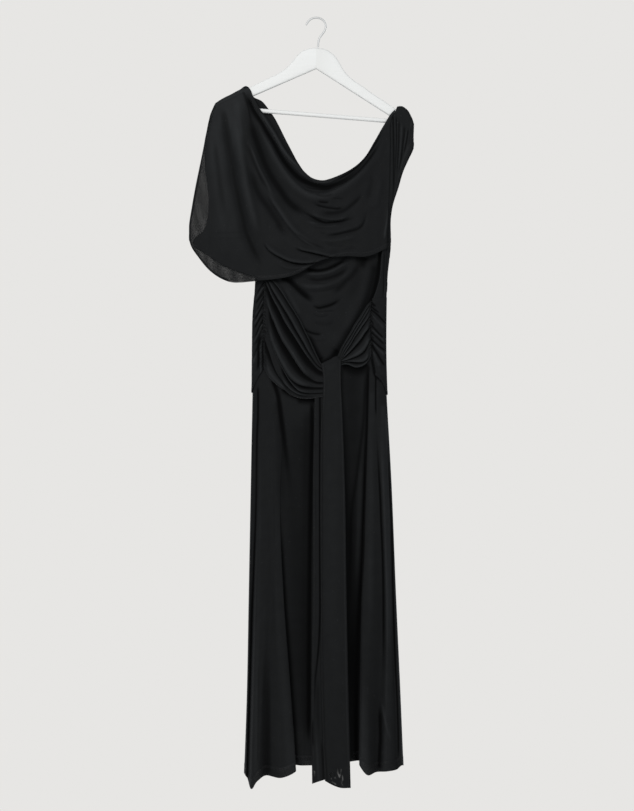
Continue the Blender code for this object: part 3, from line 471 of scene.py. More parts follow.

# ---------------------------------------------------------------- creases of each sheet
# a painted highlight: the left side is paler, where the cloth is thinnest
OVERLAY_CREASES = creases("""
    # height above below lap shade, band, ends | path
    # shoulder lines from the apex
    -1.6 5 5 0 0.5 2.5 2.5 0.03 0.4 | -159,-158 -152,-180 -146,-205 -141,-235
    -1.2 7 7 0 -0.25 6 6 | -176,-168 -172,-195 -168,-230 -164,-270
    # the deep valley inside the neck and the lit roll along the neck's edge
    -8.5 6 8 0 0.92 5 8 0.06 0.5 | -156,-157 -146,-177 -136,-200 -122,-225 -108,-250 -93,-274 -80,-297
        -66,-317 -50,-335 -38,-346 -20,-356 0,-363 20,-366 40,-361 60,-351 80,-335 95,-319 110,-302 120,-288
        130,-274 140,-258 150,-241 158,-227
    -2.2 2.6 2.6 0 0.75 2.2 2.2 0.15 0.3 | 30,-355 52,-346 74,-332 92,-316 110,-295 126,-271 141,-244
        154,-222
    -2 3 3 0 0.6 2.6 3.4 0.15 0.3 | 44,-366 66,-354 88,-336 106,-315 124,-289 140,-262
    0 3 3 0 -0.6 4 4 0.25 0.05 | 90,-313 108,-291 126,-263 142,-236 156,-213 167,-199
    1 2 2 0 -0.4 1.5 1.5 0.2 0.2 | -22,-343 2,-356 20,-357 40,-350 56,-342
    2.4 4 4 0 -0.6 2.6 2.6 0.1 0.3 | -127,-200 -117,-213 -108,-226 -100,-239 -92,-251 -86,-262 -80,-273
        -74,-284 -66,-295 -58,-305 -45,-318 -20,-341
    -1.6 2.5 2.5 0 0.4 2 2 | -35,-362 -15,-369 5,-371.5 20,-372 38,-367
    -1.4 2.5 2.5 0 0.35 1.8 1.8 | -35,-370 -15,-375 5,-377.5 20,-377 30,-374
    6 9 12 -2.5 -0.3 7 9 0.1 0.3 | -140,-195 -125,-226 -113,-251 -103,-276 -92,-301 -80,-323 -65,-346
        -45,-368 -20,-385 0,-390 22,-388 40,-379 60,-367 80,-352 100,-334 120,-310 135,-288 148,-262
    # the second valley of the cowl
    -7 9 9 0 0.62 8 8 0.25 0.15 | -157,-175 -150,-200 -143,-223 -137,-246 -125,-281 -118,-300 -110,-320
        -100,-340 -90,-357 -78,-374 -60,-399 -45,-412 -30,-421 -10,-429
    -6 3 8 0 0.9 1.6 3 0.35 0.4 | -40,-414 -22,-424 -5,-433 8,-440 18,-443 32,-442 50,-440 70,-436 92,-431
    3.5 7 5 4 | -20,-421 0,-426 20,-431 35,-433 55,-430 75,-424
    -1.6 3 3 0 0.75 2.2 2.2 | 0,-399 10,-400.5 28,-401
    -1 2 2 0 0.35 1.6 1.6 | 32,-394 45,-392.5 60,-393
    -2.2 3 4 0 0.68 2.2 2.6 | -12,-402 10,-408.5 30,-412 45,-413 62,-409
    -3 6 6 0 0.5 4.5 4.5 | 0,-417 20,-421.5 40,-421.5 60,-416 75,-405 90,-390 101,-372
    -0.8 2.5 2.5 0 0.25 1.6 1.6 | -15,-447 12,-449 40,-448
    -0.8 2.5 2.5 0 0.2 1.6 1.6 | -12,-454 12,-456 40,-455
    -3 3 5 0 0.55 1.8 2.6 0.3 0.35 | 5,-472 25,-471 40,-469 60,-464.5 75,-461 88,-456.5 96,-450 101,-440
        105,-425 111,-410
    2.2 6 5 2 | 15,-463 40,-461 62,-456 80,-450 92,-442 98,-430
    -0.8 2 2 0 0.3 1.4 1.4 | 5,-465.5 13,-466.5 21,-466.5
    -1 4 4 0 0.2 2.5 2.5 | 18,-489 40,-494 62,-495
    -1 4 4 0 0.22 2.5 2.5 | 22,-504 45,-505 62,-500.5 92,-497
    # folds that fall from the left shoulder
    2.2 5 5 0 -0.22 3.6 3.6 | -148,-265 -135,-300 -125,-325 -112,-350 -100,-373 -88,-392
    -2.2 4 4 0 0.35 3 3 | -154,-262 -141,-300 -130,-328 -118,-353 -106,-376
    -5 8 8 0 0.42 6 7 | -150,-310 -140,-336 -128,-375 -115,-396 -103,-412 -95,-425 -85,-440 -78,-454
        -68,-467 -50,-482
    5 8 7 3 -0.25 5 5 | -110,-362 -98,-386 -85,-406 -72,-425 -62,-440 -50,-455 -35,-470 -15,-485 0,-494
        22,-499
    -1.8 3 3 0 0.4 2 2.4 | -45,-463 -25,-477 -10,-486 5,-494 22,-501
    -7 12 13 0 0.5 6 7 0.08 0.15 | -205,-190 -200,-212 -195,-245 -192,-266 -188,-290 -183,-316 -176,-360
        -170,-385 -166,-406 -160,-430 -156,-451 -150,-471 -141,-491 -132,-510 -122,-528 -109,-546
    6 10 14 0 -0.22 10 12 0.2 0.2 | -178,-200 -170,-250 -160,-320 -150,-378 -143,-404 -136,-432 -128,-460
        -118,-482
    3 12 12 | -232,-235 -226,-300 -217,-380 -203,-455 -190,-520
    -1.4 6 6 0 0.1 4 4 | -222,-250 -214,-310 -206,-370 -196,-430
    # where the lining ends behind
    0.5 2 2 0 0.18 1.6 1.6 | -244,-461 -215,-463 -180,-463 -148,-461
    0.5 2 2 0 0.14 1.6 1.6 | -250,-473 -215,-475 -180,-475 -146,-473
    # tucks at the front of the hem
    6 6 5 5.5 -0.08 2.5 2.5 0.2 0.25 | -118,-480 -104,-494 -90,-504 -75,-512 -60,-519 -42,-523 -15,-524
        14,-520.5
    -6.5 2.5 5 0 0.97 1.6 3.4 0.2 0.25 | -117,-484 -102,-499 -90,-509 -76,-517.5 -62,-524.5 -48,-529
        -34,-531 -16,-530.5 2,-528.5 18,-525
    5 5 4 4 | -52,-493 -30,-498.5 -8,-503 14,-508 32,-512 48,-513
    -5 2.2 4 0 0.95 1.4 2.8 0.25 0.1 | -50,-498 -30,-503 -10,-508 10,-513 25,-516.5 42,-519
    2.4 5 4 | -90,-528 -62,-541 -38,-541 -14,-534 8,-528
    -1 2 2 0 0.25 1.6 1.6 | -62,-556 -46,-551.5 -30,-546
    1.5 5 5 0 -0.1 3 3 | 40,-507 70,-506 112,-504
    # right edge
    2 4 4 0 -0.95 2 2 | 153,-402 152.5,-422 150.5,-440 146.5,-462 144.5,-484
    -2 7 7 0 0.22 6 6 | 109,-398 115,-368 121,-335
    2 8 8 0 -0.12 7 7 | 124,-420 132,-380 138,-340
    -1.2 3 3 0 0.3 2.4 2.4 | -6,-384 15,-389 38,-385
    2.4 5 5 0 -0.2 4 4 | -28,-438 0,-447 30,-449 60,-446
    2.2 6 6 0 -0.15 4 4 | 0,-480 30,-482 62,-478 92,-468
    1 3 3 0 -0.9 2.6 2.6 0.1 0.3 | 150,-207 143,-226 132,-250 119,-274
    # the left side is paler, where the cloth is thinnest
    0 9 9 0 -0.36 46 40 0.001 0.3 | -166,-140 -190,-190 -204,-260 -206,-330 -202,-400 -196,-470 -190,-530
        -186,-570
    0 9 9 0 -0.22 40 30 0.001 0.5 | -150,-140 -178,-180 -200,-235 -210,-300 -212,-360
    -1.2 2 2 0 0.6 2 2 0.3 0.05 | 154.5,-395 153,-450 151,-500
""")
# The first is the front neckline's shadow on the inside of the back
OVERLAY_BACK_CREASES = [Crease(FRONT_NECK[2:14], 0, 3, 3, 0, 0.95, (3.6, 4.6), (0.1, 0.02))] + creases("""
    # height above below lap shade, band, ends | path
    -4 9 10 0 0.3 5 5 | -150,-230 -90,-350 10,-418 100,-380 150,-295
    3 8 8 | -135,-225 -80,-335 10,-396 95,-358 140,-285
    -3 10 9 0 0.25 5 5 | -160,-260 -105,-390 0,-462 100,-420 150,-340
    -4.5 12 12 0 0.25 8 8 | -205,-210 -190,-300 -168,-400 -130,-510
    4 11 11 | -180,-220 -158,-330 -128,-430 -95,-505
    3 12 12 | -120,-300 -30,-440 60,-470 130,-420
    -2.5 7 9 0 0.25 4 4 | -80,-440 0,-505 80,-500 140,-455
    3 12 12 | -232,-240 -222,-330 -205,-430 -190,-520
    -2.2 9 9 0 0.2 5 5 | 120,-300 126,-380 118,-460 100,-520
""")
BODICE_CREASES = creases("""
    # height above below lap shade, band, ends | path
    -4 4 4 0 0.97 6 2.6 0.1 0.2 | -28,-541 -12,-545 2,-546.5 20,-543.5 36,-537 50,-529 62,-521 76,-518
    2.2 5 5 0 -0.4 3.4 3.4 | -42,-552 -19,-552 4,-552 30,-547 53,-535 74,-524
    -2.6 5 5 0 0.5 5 4 | -34,-558 -16,-563 0,-566 20,-563 40,-557 55,-549 66,-539 73,-532
    -0.8 2 2 0 0.3 1.8 1.8 | -12,-570.5 0,-573 15,-573 27,-571
    3.2 8 8 0 -0.3 6 6 | -58,-568 -30,-578 0,-580 30,-574 55,-562 74,-546 84,-530
    -2.6 7 7 0 0.42 7 6 | 91,-524 86,-539 79,-550 70,-561 62,-568 52,-579 42,-588 28,-597
    -1.2 5 4 0 0.22 3 3 | -22,-590 0,-590.5 28,-586 50,-577
    -5 7 5 0 0.85 10 4.5 0.02 0.35 | -78,-560 -64,-566 -52,-576 -40,-588 -30,-597 -20,-605 -9,-613 0,-619
    -4 4 5 0 0.9 2.8 3.6 0.3 0.35 | -14,-616 -6,-622 4,-625.5 15,-623.5 30,-619 44,-611 54,-603
    -1 2 2 0 0.35 1.8 1.8 | -12,-629.5 0,-633 20,-633 42,-632
    -1 3 3 0 0.28 2 2 | -12,-639 8,-645 28,-640
    -1.2 5 5 0 0.15 4 4 | -12,-658 20,-662 40,-655
    6 16 20 0 -0.12 12 12 | 116,-516 107,-560 96,-600 80,-640 60,-680 38,-716 26,-732
    -1.5 8 8 0 0.5 8 8 0.05 0.5 | 102,-516 99,-530 97,-546
    0 6 6 0 0.45 6 12 0.1 0.1 | 80,-519 104,-518 130,-514
    0 8 8 0 0.3 18 16 0.01 0.4 | 96,-518 94,-552 86,-585 68,-622
    -4 8 8 0 0.55 8 12 0.1 0.1 | 128,-520 122,-560 114,-590 103,-620 90,-645 77,-667 62,-690 47,-716 30,-738
    -3 5 5 0 0.95 6 4.5 0.02 0.2 | 136,-498 134.5,-520 132,-548 127,-574 121,-597 114,-613 104,-627
    -2.2 4 4 0 0.75 3 2.6 | -33,-664 -24,-674 -14,-679 0,-682.5 14,-682
    1.2 4 4 | -16,-688 2,-693 22,-692
    2.5 8 8 0 -0.25 7 7 | -72,-576 -52,-612 -32,-650
    0 8 8 0 0.16 34 34 0.1 0.1 | 30,-540 55,-580 60,-630 40,-690
    -2 7 7 0 0.7 8 8 0.3 0.02 | -24,-676 -12,-700 -2,-720 8,-738
    -2 8 6 0 0.75 9 9 0.1 0.1 | 4,-733 12,-744 26,-739 40,-727 48,-716
""")
BODICE_BACK_CREASES = creases("""
    # height above below lap shade, band, ends | path
    -2.4 5 6 0 0.35 2.5 4 0.05 0.6 | 146,-543 112,-556 62,-564 8,-566
    -2.2 4 6 0 0.3 2.5 3.5 0.05 0.6 | 147,-568 116,-579 76,-585
    1.6 5 5 | 146,-556 106,-569 58,-575
""")
PANEL_CREASES = creases("""
    # height above below lap shade, band, ends | path
    # gathers of the right shoulder, then the strip down the right side
    -2.6 2.2 2.2 0 0.62 1.9 1.9 0.06 0.3 | 163.5,-205 165,-240 165.6,-272 165.8,-331 164.4,-385 162,-410
    -2.4 2 2 0 0.6 1.7 1.7 0.1 0.3 | 171,-207 171.5,-260 169.6,-308 167.5,-356
    -2.2 2 2 0 0.56 1.7 1.7 0.12 0.3 | 177,-214 175.8,-265 173.9,-308 170.5,-356
    -2.2 2 2 0 0.52 1.7 1.7 0.15 0.3 | 190.5,-228 185.8,-269 182.2,-298 176,-340
    -1.8 2 2 0 0.5 1.6 1.6 0.15 0.3 | 198,-238 193,-267 186,-298
    -1.6 2 2 0 0.35 1.8 1.8 0.2 0.3 | 203,-232 201,-258 197,-282
    1.8 1.8 1.8 0 -0.32 1.4 1.4 0.1 0.3 | 167.6,-208 168.5,-260 167.8,-310 166,-352
    1.8 1.8 1.8 0 -0.3 1.3 1.3 0.1 0.3 | 174.2,-212 173.7,-262 171.8,-308 169,-350
    2 3 3 0 -0.22 2.6 2.6 0.15 0.3 | 183,-222 181,-262 178,-300 173.5,-345
    1.6 2 2 0 -0.3 1.5 1.5 0.2 0.3 | 194,-238 189.5,-268 184,-300
    -1.2 2 2 0 0.6 1.6 1.6 0.1 0.3 | 145.5,-500 144.5,-530 143.5,-570 143,-620
    -0.8 1.8 1.8 0 0.4 1.4 1.4 | 149.5,-440 149.2,-500 149,-545 148.5,-590
    1.6 5 5 | 140,-508 137,-545 131,-580
""")
WRAP_CREASES = creases("""
    # height above below lap shade, band, ends | path
    # seen from the front, on both sides of the ruched seams
    -2.8 3 3 0 0.8 2 2 0.03 0.35 | -115,-571 -122,-582 -131,-597
    -3.2 3.4 3.4 0 0.85 2.2 2.2 0.03 0.3 | -115,-589 -124,-603 -135,-620
    -2.6 3 3 0 0.7 2 2 0.03 0.35 | -115,-600 -123,-617 -132,-637
    -3.4 3.6 3.6 0 0.9 2.4 2.4 0.03 0.3 | -116,-618 -125,-634 -136,-655
    -3.2 3.4 3.4 0 0.85 2.2 2.2 0.03 0.3 | -117,-638 -127,-654 -137,-674
    -3.2 3.4 3.4 0 0.8 2.2 2.2 0.03 0.3 | -116,-650 -126,-670 -136,-693
    -2.6 3 3 0 0.6 2 2 0.03 0.3 | -116,-667 -125,-685 -137,-712
    -5 4 4 0 0.97 3.6 3.6 0.2 0.25 | -119,-678 -125,-697 -126.6,-715 -126.3,-732 -127,-750 -132,-768
    2 3.4 3.4 0 -0.6 2 2 0.06 0.2 | -115,-580 -124,-594 -134,-611
    2.2 3.4 3.4 0 -0.7 2 2 0.06 0.2 | -116,-609 -124,-625 -134,-645
    2.2 3.4 3.4 0 -0.7 2 2 0.06 0.2 | -117,-628 -126,-644 -136,-664
    2.2 3.4 3.4 0 -0.6 2 2 0.06 0.2 | -117,-659 -125,-677 -136,-702
    -2.4 3 3 0 0.55 2 2 0.1 0.2 | -121,-694 -130,-713 -138,-737
    2 3 3 0 -0.55 2 2 0.1 0.2 | -121,-704 -130,-723 -138,-749
    2.2 4 4 0 -0.2 4 4 0.1 0.3 | -134,-690 -137,-722 -137,-760 -135,-790
    3 3 3 0 -0.6 2 2 | -119,-690 -121,-712 -121.5,-740 -121,-765 -124,-783
    -2 2 2 0 0.95 2 2 0.1 0.05 | -115.5,-690 -116.5,-722 -116,-752 -115.5,-772
    -1.6 2.4 2.4 0 0.75 1.6 1.6 0.05 0.4 | 116,-615 123,-620 130,-624
    -2.4 2.8 2.8 0 0.9 1.9 1.9 0.03 0.3 | 117,-623 126,-630 136,-638
    -3 3 3 0 0.95 2.4 2.4 0.03 0.15 | 117,-630 131,-641 149,-660
    -1.8 3 3 0 0.75 2 2 0.05 0.4 | 115,-650 119,-657 124,-666
    -3.2 3.4 3.4 0 0.9 2.3 2.3 0.03 0.15 | 117,-663 130,-677 144,-691
    -2.4 3 3 0 0.88 2.1 2.1 0.03 0.2 | 116,-678 128,-688 147,-706
    -3.4 3.6 3.6 0 0.92 2.4 2.4 0.03 0.15 | 116,-692 130,-705 149,-719
    -4.4 4 4 0 0.95 3.2 2.6 0.03 0.15 | 117,-704 130,-725 147,-753
    -3.4 3 3 0 0.97 2.8 2.8 0.05 0.1 | 116,-716 119,-736 122,-752 125,-770
    2.2 4 4 0 -0.45 3.4 3.4 0.1 0.2 | 118,-643 131,-655 147,-672
    2 3 3 0 -0.6 1.8 1.8 0.1 0.2 | 117,-671 130,-683 146,-699
    2.2 3 3 0 -0.6 2.6 2.6 0.1 0.2 | 118,-698 131,-713 148,-730
    2.4 4 4 0 -0.5 4.2 4.2 0.1 0.2 | 120,-716 129,-739 140,-764 147,-782
    -1.4 4 4 0 0.3 3 3 | 133,-745 138,-758 142,-772 145,-790
""")
WRAP_BACK_CREASES = creases("""
    # height above below lap shade, band, ends | path
    # drawn as if seen through from the front
    -2.6 4 6 0 0.35 2.2 4 0.02 0.6 | -131,-573 -84,-585 -24,-591 30,-589
    -2.4 4 5 0 0.32 2.2 3.5 0.02 0.7 | -134,-590 -96,-606 -52,-615
    -3 5 7 0 0.4 2.5 4.5 0.02 0.02 | -135,-606 -72,-628 -4,-637 66,-634 144,-613
    -2.6 4 6 0 0.34 2.2 4 0.02 0.55 | -135,-637 -98,-652 -44,-663 16,-664
    -3.2 5 8 0 0.42 2.5 5 0.02 0.02 | -136,-651 -66,-676 12,-689 88,-680 144,-658
    -2.4 4 5 0 0.32 2.2 3.5 0.02 0.7 | -136,-688 -92,-704 -38,-713
    -3 5 7 0 0.4 2.5 4.5 0.02 0.02 | -137,-703 -58,-733 14,-742 84,-739 147,-714
    -2.4 4 6 0 0.32 2.2 4 0.02 0.6 | -137,-748 -78,-768 -12,-775
    -2.4 4 6 0 0.34 2.2 4 0.02 0.02 | -137,-771 -52,-793 34,-798 104,-788 149,-768
    -2.6 4 6 0 0.34 2.2 4 0.02 0.65 | 141,-636 112,-650 64,-659
    -2.6 4 6 0 0.34 2.2 4 0.02 0.6 | 145,-688 102,-707 46,-716
    -2.4 4 5 0 0.3 2.2 3.5 0.02 0.7 | 148,-741 118,-753 70,-762
    2.2 6 6 0 -0.12 4 4 0.05 0.05 | -134,-597 -70,-617 0,-625 66,-622 142,-603
    2.4 6 6 0 -0.12 4 4 0.05 0.05 | -135,-644 -68,-666 10,-677 84,-669 143,-647
    2.2 6 6 0 -0.12 4 4 0.05 0.05 | -136,-695 -60,-722 12,-730 82,-726 146,-702
    1.8 6 6 0 -0.1 4 4 0.05 0.05 | -137,-760 -52,-782 32,-787 100,-777 148,-757
""")
# painted shade and painted highlights on the skirt's front, with a few low creases
SKIRT_SHADES = creases("""
    # height above below lap shade, band, ends | path
    -1.2 3 3 0 0.97 2.6 3 0.02 0.1 | -127,-790 -127,-860 -128.8,-900 -129.5,-970 -129.8,-1030 -131.5,-1090
        -134.5,-1158 -136.5,-1215 -139.5,-1275 -141,-1330 -142.5,-1400 -144,-1480 -145,-1530 -146,-1600
    -0.8 2 2 0 0.6 1.8 1.8 0.1 0.1 | -138,-850 -140,-1000 -142,-1150 -145,-1300 -148,-1440 -152,-1590
    -2.5 5 7 0 0.95 6 5 0.03 0.75 | -98,-778 -90,-795 -84,-815 -80,-840 -77.5,-860 -74,-886 -69.5,-920
        -65,-955 -60,-1000 -57,-1060
    0 6 6 0 0.35 10 14 0.05 0.4 | -84,-820 -78,-880 -76,-960 -76,-1040 -77,-1120
    0 5 5 0 0.9 10 10 0.02 0.2 | -30,-818 -50,-812 -66,-803 -78,-795
    0 5 5 0 0.9 10 6 0.02 0.2 | 2,-820 -12,-823 -30,-823 -45,-819
    0 9 9 0 0.38 30 30 0.1 0.35 | -36,-830 -40,-900 -42,-1000 -42,-1100 -40,-1200 -36,-1300 -32,-1400
        -29,-1500 -27,-1620
    0 9 9 0 -0.5 20 20 0.5 0.002 | -30,-1500 -28,-1570 -27,-1630
    0 9 9 0 -0.6 20 12 0.4 0.002 | 80,-1380 80,-1480 80,-1630
    0 3 3 0 0.75 8 12 0.1 0.1 | 52,-752 62,-751 75,-756 88,-759 100,-754 110,-744
    0 3 3 0 0.92 1.5 3.4 0.05 0.05 | 117,-730 121,-752 126,-772 134,-779 144,-788 149.5,-806
    0 5 5 0 -0.16 5 5 0.1 0.01 | -122,-880 -123,-1050 -125,-1200 -129,-1400 -132,-1620
    0 6 6 0 -0.16 7 7 0.2 0.01 | -94,-960 -88,-1150 -82,-1300 -70,-1450 -60,-1615
    0 6 6 0 0.12 5 5 0.3 0.3 | -104,-1000 -102,-1150 -98,-1290
    0 4 4 0 0.7 6 1.2 0.2 0.02 | -80,-1050 -77,-1130 -74,-1190 -71,-1245 -66,-1320 -60,-1390 -55,-1460
        -50,-1520 -44,-1610
    -1.5 5 5 0 0.97 3 6 0.03 0.1 | -10,-822 -9.5,-880 -11.5,-980 -13,-1080 -14.5,-1200 -15.5,-1320
        -16.5,-1440 -17,-1580
    0 5 5 0 0.4 8 12 0.05 0.1 | -18,-830 -19,-900 -20,-1000 -21,-1150 -22,-1300 -22,-1600
    0 8 8 0 0.46 28 28 0.01 0.3 | 76,-748 76,-850 76,-950 76,-1050 76,-1150 77,-1300 79,-1450 80,-1620
    0 8 8 0 0.3 12 10 0.2 0.2 | 70,-960 70,-1060 71,-1200 72,-1350 74,-1450 76,-1620
    -0.8 4 4 0 0.5 3.4 3.4 0.1 0.4 | 104,-748 102,-830 98,-890 92,-935 86,-985 76,-1050 72,-1150 70,-1300
    0.8 4 4 0 -0.6 4 4 0.3 0.3 | 93,-930 92,-1000 90,-1080 87,-1160 84,-1240
    -1.2 3 3 0 0.97 2.6 5 0.05 0.003 | 113,-733 110.5,-760 109.5,-800 107.5,-888 105.5,-940 103.5,-1007
        101,-1083 99,-1160 96,-1210 93,-1260 90,-1320 88,-1400 86,-1500 86,-1620
    0 3 3 0 0.6 8 10 0.4 0.1 | 90,-1200 86,-1280 84,-1400 84,-1620
    -1.2 3 3 0 0.97 2 2 0.02 0.3 | 126.4,-770 126.3,-830 127,-868
    -1.5 4 4 0 0.97 3.4 2.4 0.3 0.3 | 127.2,-850 129.5,-920 132.5,-975 135.5,-1031 137.4,-1083 139.5,-1130
        141,-1170 142.2,-1230 142.6,-1300 142.6,-1355 141,-1420 138,-1460
    -3 4 4 0 0.97 5 3.5 0.25 0.05 | 135.5,-1475 135.5,-1520 136,-1545 134.5,-1575 133,-1615
    2.5 4 4 0 -0.4 2 2 | 136,-1461 140,-1483 145,-1506 151,-1531 160,-1556
    -0.8 2.5 2.5 0 0.9 2 2.2 0.2 0.05 | 148,-860 154,-960 157,-1020 160.5,-1090 163,-1200 165.5,-1300
        169,-1400 173,-1480 175,-1560 175,-1605
    0.6 2.5 2.5 0 -0.3 2 2 0.2 0.2 | 148,-830 152,-960 155,-1080 158,-1200 161,-1320 167,-1420 170,-1540
    -2.5 10 12 0 0.42 11 9 0.5 0.005 | -112,-1280 -112,-1360 -111,-1450 -110,-1540 -110,-1625
    0 3 3 0 0.3 1.5 8 0.4 0.02 | -101,-1400 -100,-1500 -99,-1620
    -0.5 2 2 0 0.35 1.6 1.6 0.2 0.05 | -124.5,-1380 -125,-1480 -126,-1600
    0.6 3 3 0 -0.25 2 2 | -137,-1340 -140.5,-1440 -142,-1520 -143,-1600
    -1.2 14 14 0 0.1 10 10 | -112,-860 -110,-1000 -112,-1150 -120,-1290
    1 12 12 | -40,-880 -38,-1000 -40,-1150
    1 6 6 0 -0.45 8 8 0.02 0.3 | 143,-830 144,-900 146,-1000 149,-1100 152,-1250 155,-1400
    0 6 6 0 -0.5 4 4 0.1 0.3 | 150,-850 154,-950 157,-1040 160,-1140
    0 6 6 0 -0.32 10 10 0.02 0.3 | 117,-800 116,-900 116,-1050 116,-1200 116,-1350
""")

# ---------------------------------------------------------------- swags, wrap and skirt
LEFT_VALLEYS = valleys("""
    # height start end dark cover | path
    3 0 1 0 0.2 | -112.5,-556 -93,-566 -81.7,-575 -72.5,-587 -63.2,-604.6 -54,-619.5 -44.8,-635 -33.3,-655
        -27.5,-669 -17,-690 -8,-709 2,-732 10,-746 20,-752
    6 0 1 0.75 0.28 | -112.6,-559 -95,-569 -85,-580 -74.8,-594 -69.6,-602 -59.8,-618 -51.8,-630 -44.9,-641
        -36.8,-655 -28.7,-672 -20.7,-688 -13.8,-703 -7.3,-719 -1,-732 6,-746 20,-757
    7.5 0 1 0.92 0.32 | -112.7,-562 -104.7,-570 -97.8,-583 -90.9,-595 -81.7,-610 -72.5,-625 -63.2,-640
        -54,-656 -46,-671 -37.9,-685 -28,-702 -19.1,-719 -11,-732 -4,-743 5,-752 20,-761
    9.5 0 1 0.98 0.38 | -112.9,-567 -108,-577 -103.5,-586 -97.8,-600 -90.9,-614 -83.9,-626 -77,-640
        -70.1,-654 -63.2,-665.5 -55.2,-678 -46,-692 -35.7,-708.5 -28.6,-719.5 -21.5,-730 -14.4,-739.5
        -6.5,-749.5 2,-758 20,-767
    9.5 0.1 1 0.98 0.34 | -113.4,-603 -108.2,-616 -104.7,-624 -101.3,-633 -96.7,-646 -90.9,-659 -86.3,-671
        -81.7,-681 -73.5,-698 -66.4,-709 -59.3,-720 -52.2,-731 -45.1,-742.5 -38.1,-753 -31,-763 -23.9,-771
        -14,-778 -4,-784 20,-786
    7 0.05 1 0.95 0.34 | -115.3,-652 -111.7,-662 -107.1,-674 -102.4,-686 -98.3,-696 -93.6,-709 -87.7,-723
        -83,-733 -77.1,-745 -71.2,-755.5 -66.5,-764 -60.6,-773 -54,-780 -45.2,-787 -34,-792.5 -20,-796
        2,-797 20,-797
    7.5 0.45 1 0.97 0.34 | -115.6,-655 -111.9,-665 -107.3,-677 -102.8,-689 -98.9,-699 -94.2,-712 -88.5,-726
        -84,-737 -78.1,-749 -72.2,-760 -66.5,-770 -59.5,-782 -52.3,-791 -45.2,-799 -39.3,-804 -31,-807.5
        -21.6,-809.5 2,-809 20,-808
    6.5 0 0.62 0.9 0.3 | -114.5,-684 -112.8,-690 -110.1,-701 -105.4,-714 -100.6,-728 -97.1,-740 -92.4,-753
        -87.7,-764 -83,-772 -74,-784 -64,-795 -54,-804 -44,-810 -30,-814 2,-814.5 20,-813
    0 0 1 0 0.2 | -114.3,-757 -107.7,-766 -99.5,-777 -90,-787 -80.6,-794.5 -68.8,-802 -59.3,-810.5
        -49.9,-816 -39.3,-819.5 -26.3,-821 -11,-820.4 2,-818 20,-817
""")
RIGHT_VALLEYS = valleys("""
    # height start end dark cover | path
    3 0 1 0 0.2 | 118,-610 108.4,-619 100.2,-631 93.3,-642 86.5,-652 79.6,-662 72.8,-675 65.9,-687 57.7,-701
        50.7,-714 46,-725 43,-731 36,-737
    3.5 0 1 0.6 0.25 | 117.2,-615 107,-627 101.5,-636 94.7,-648 86.5,-660 78.2,-674 70,-687.5 61.8,-700
        55,-713 51,-724 48,-732 36,-741
    5 0 1 0.65 0.22 | 116.6,-621 110.5,-632 100.2,-649 90.6,-664 82.4,-677 75.5,-690 68.7,-701.5 61,-713
        56,-723 52,-733 36,-744
    6 0 1 0.5 0.2 | 115.2,-640 105,-654.6 96,-667 88,-679 79.6,-691 72.5,-704 65,-715 59,-725 53,-736
        36,-747
    6.5 0 1 0.8 0.24 | 114.6,-664 109,-672 102.5,-680 96.8,-689 91,-697 84.1,-705 77.2,-713 70.3,-720.5
        64.5,-726 59,-731.5 52,-738 36,-749
    5 0.1 1 0.6 0.25 | 115.2,-694 108,-706 100,-719 93,-725 86.4,-729 79.5,-732 71,-735.5 62,-738.5 52,-742
        36,-752
    4.5 0.15 1 0.93 0.3 | 116.6,-716 112.5,-727 107,-736 100,-741.5 91,-743 81.7,-742.5 69,-741.5 60,-742
        50,-746 36,-755
    0 0 1 0 0.2 | 117,-724 112.5,-736 106,-744 97.9,-750 89.8,-753 81.7,-753.5 74.9,-751 66.8,-747.8
        58.7,-747 50,-750 36,-758
""")
# Share of the way to the knot, distance out of the body
SWAG_BASE = [(0.0, 4.5), (0.3, 6.0), (0.7, 9.0), (0.86, 12.0), (1.0, 13.0)]
# z, x
LEFT_RUCHE = pairs_of("""
    -556,-113 -571,-113 -597,-114.2 -638,-114.2 -661,-116 -684,-114.5 -707,-116 -756,-114
""")
RIGHT_RUCHE = [(-610, 118.5), (-638, 116.0), (-661, 115.0), (-684, 116.5), (-707, 116.8), (-721, 117.5)]
# Share of the way round, z
WRAP_TOP = [(0, -557), (0.1, -558), (0.5, -580), (0.82, -602), (0.9, -603), (1, -605)]
WRAP_BOTTOM = pairs_of("""
    0,-757 0.06,-785 0.12,-806 0.5,-820 0.87,-811 0.92,-787 0.955,-777 0.98,-770 0.992,-746 1,-722
""")

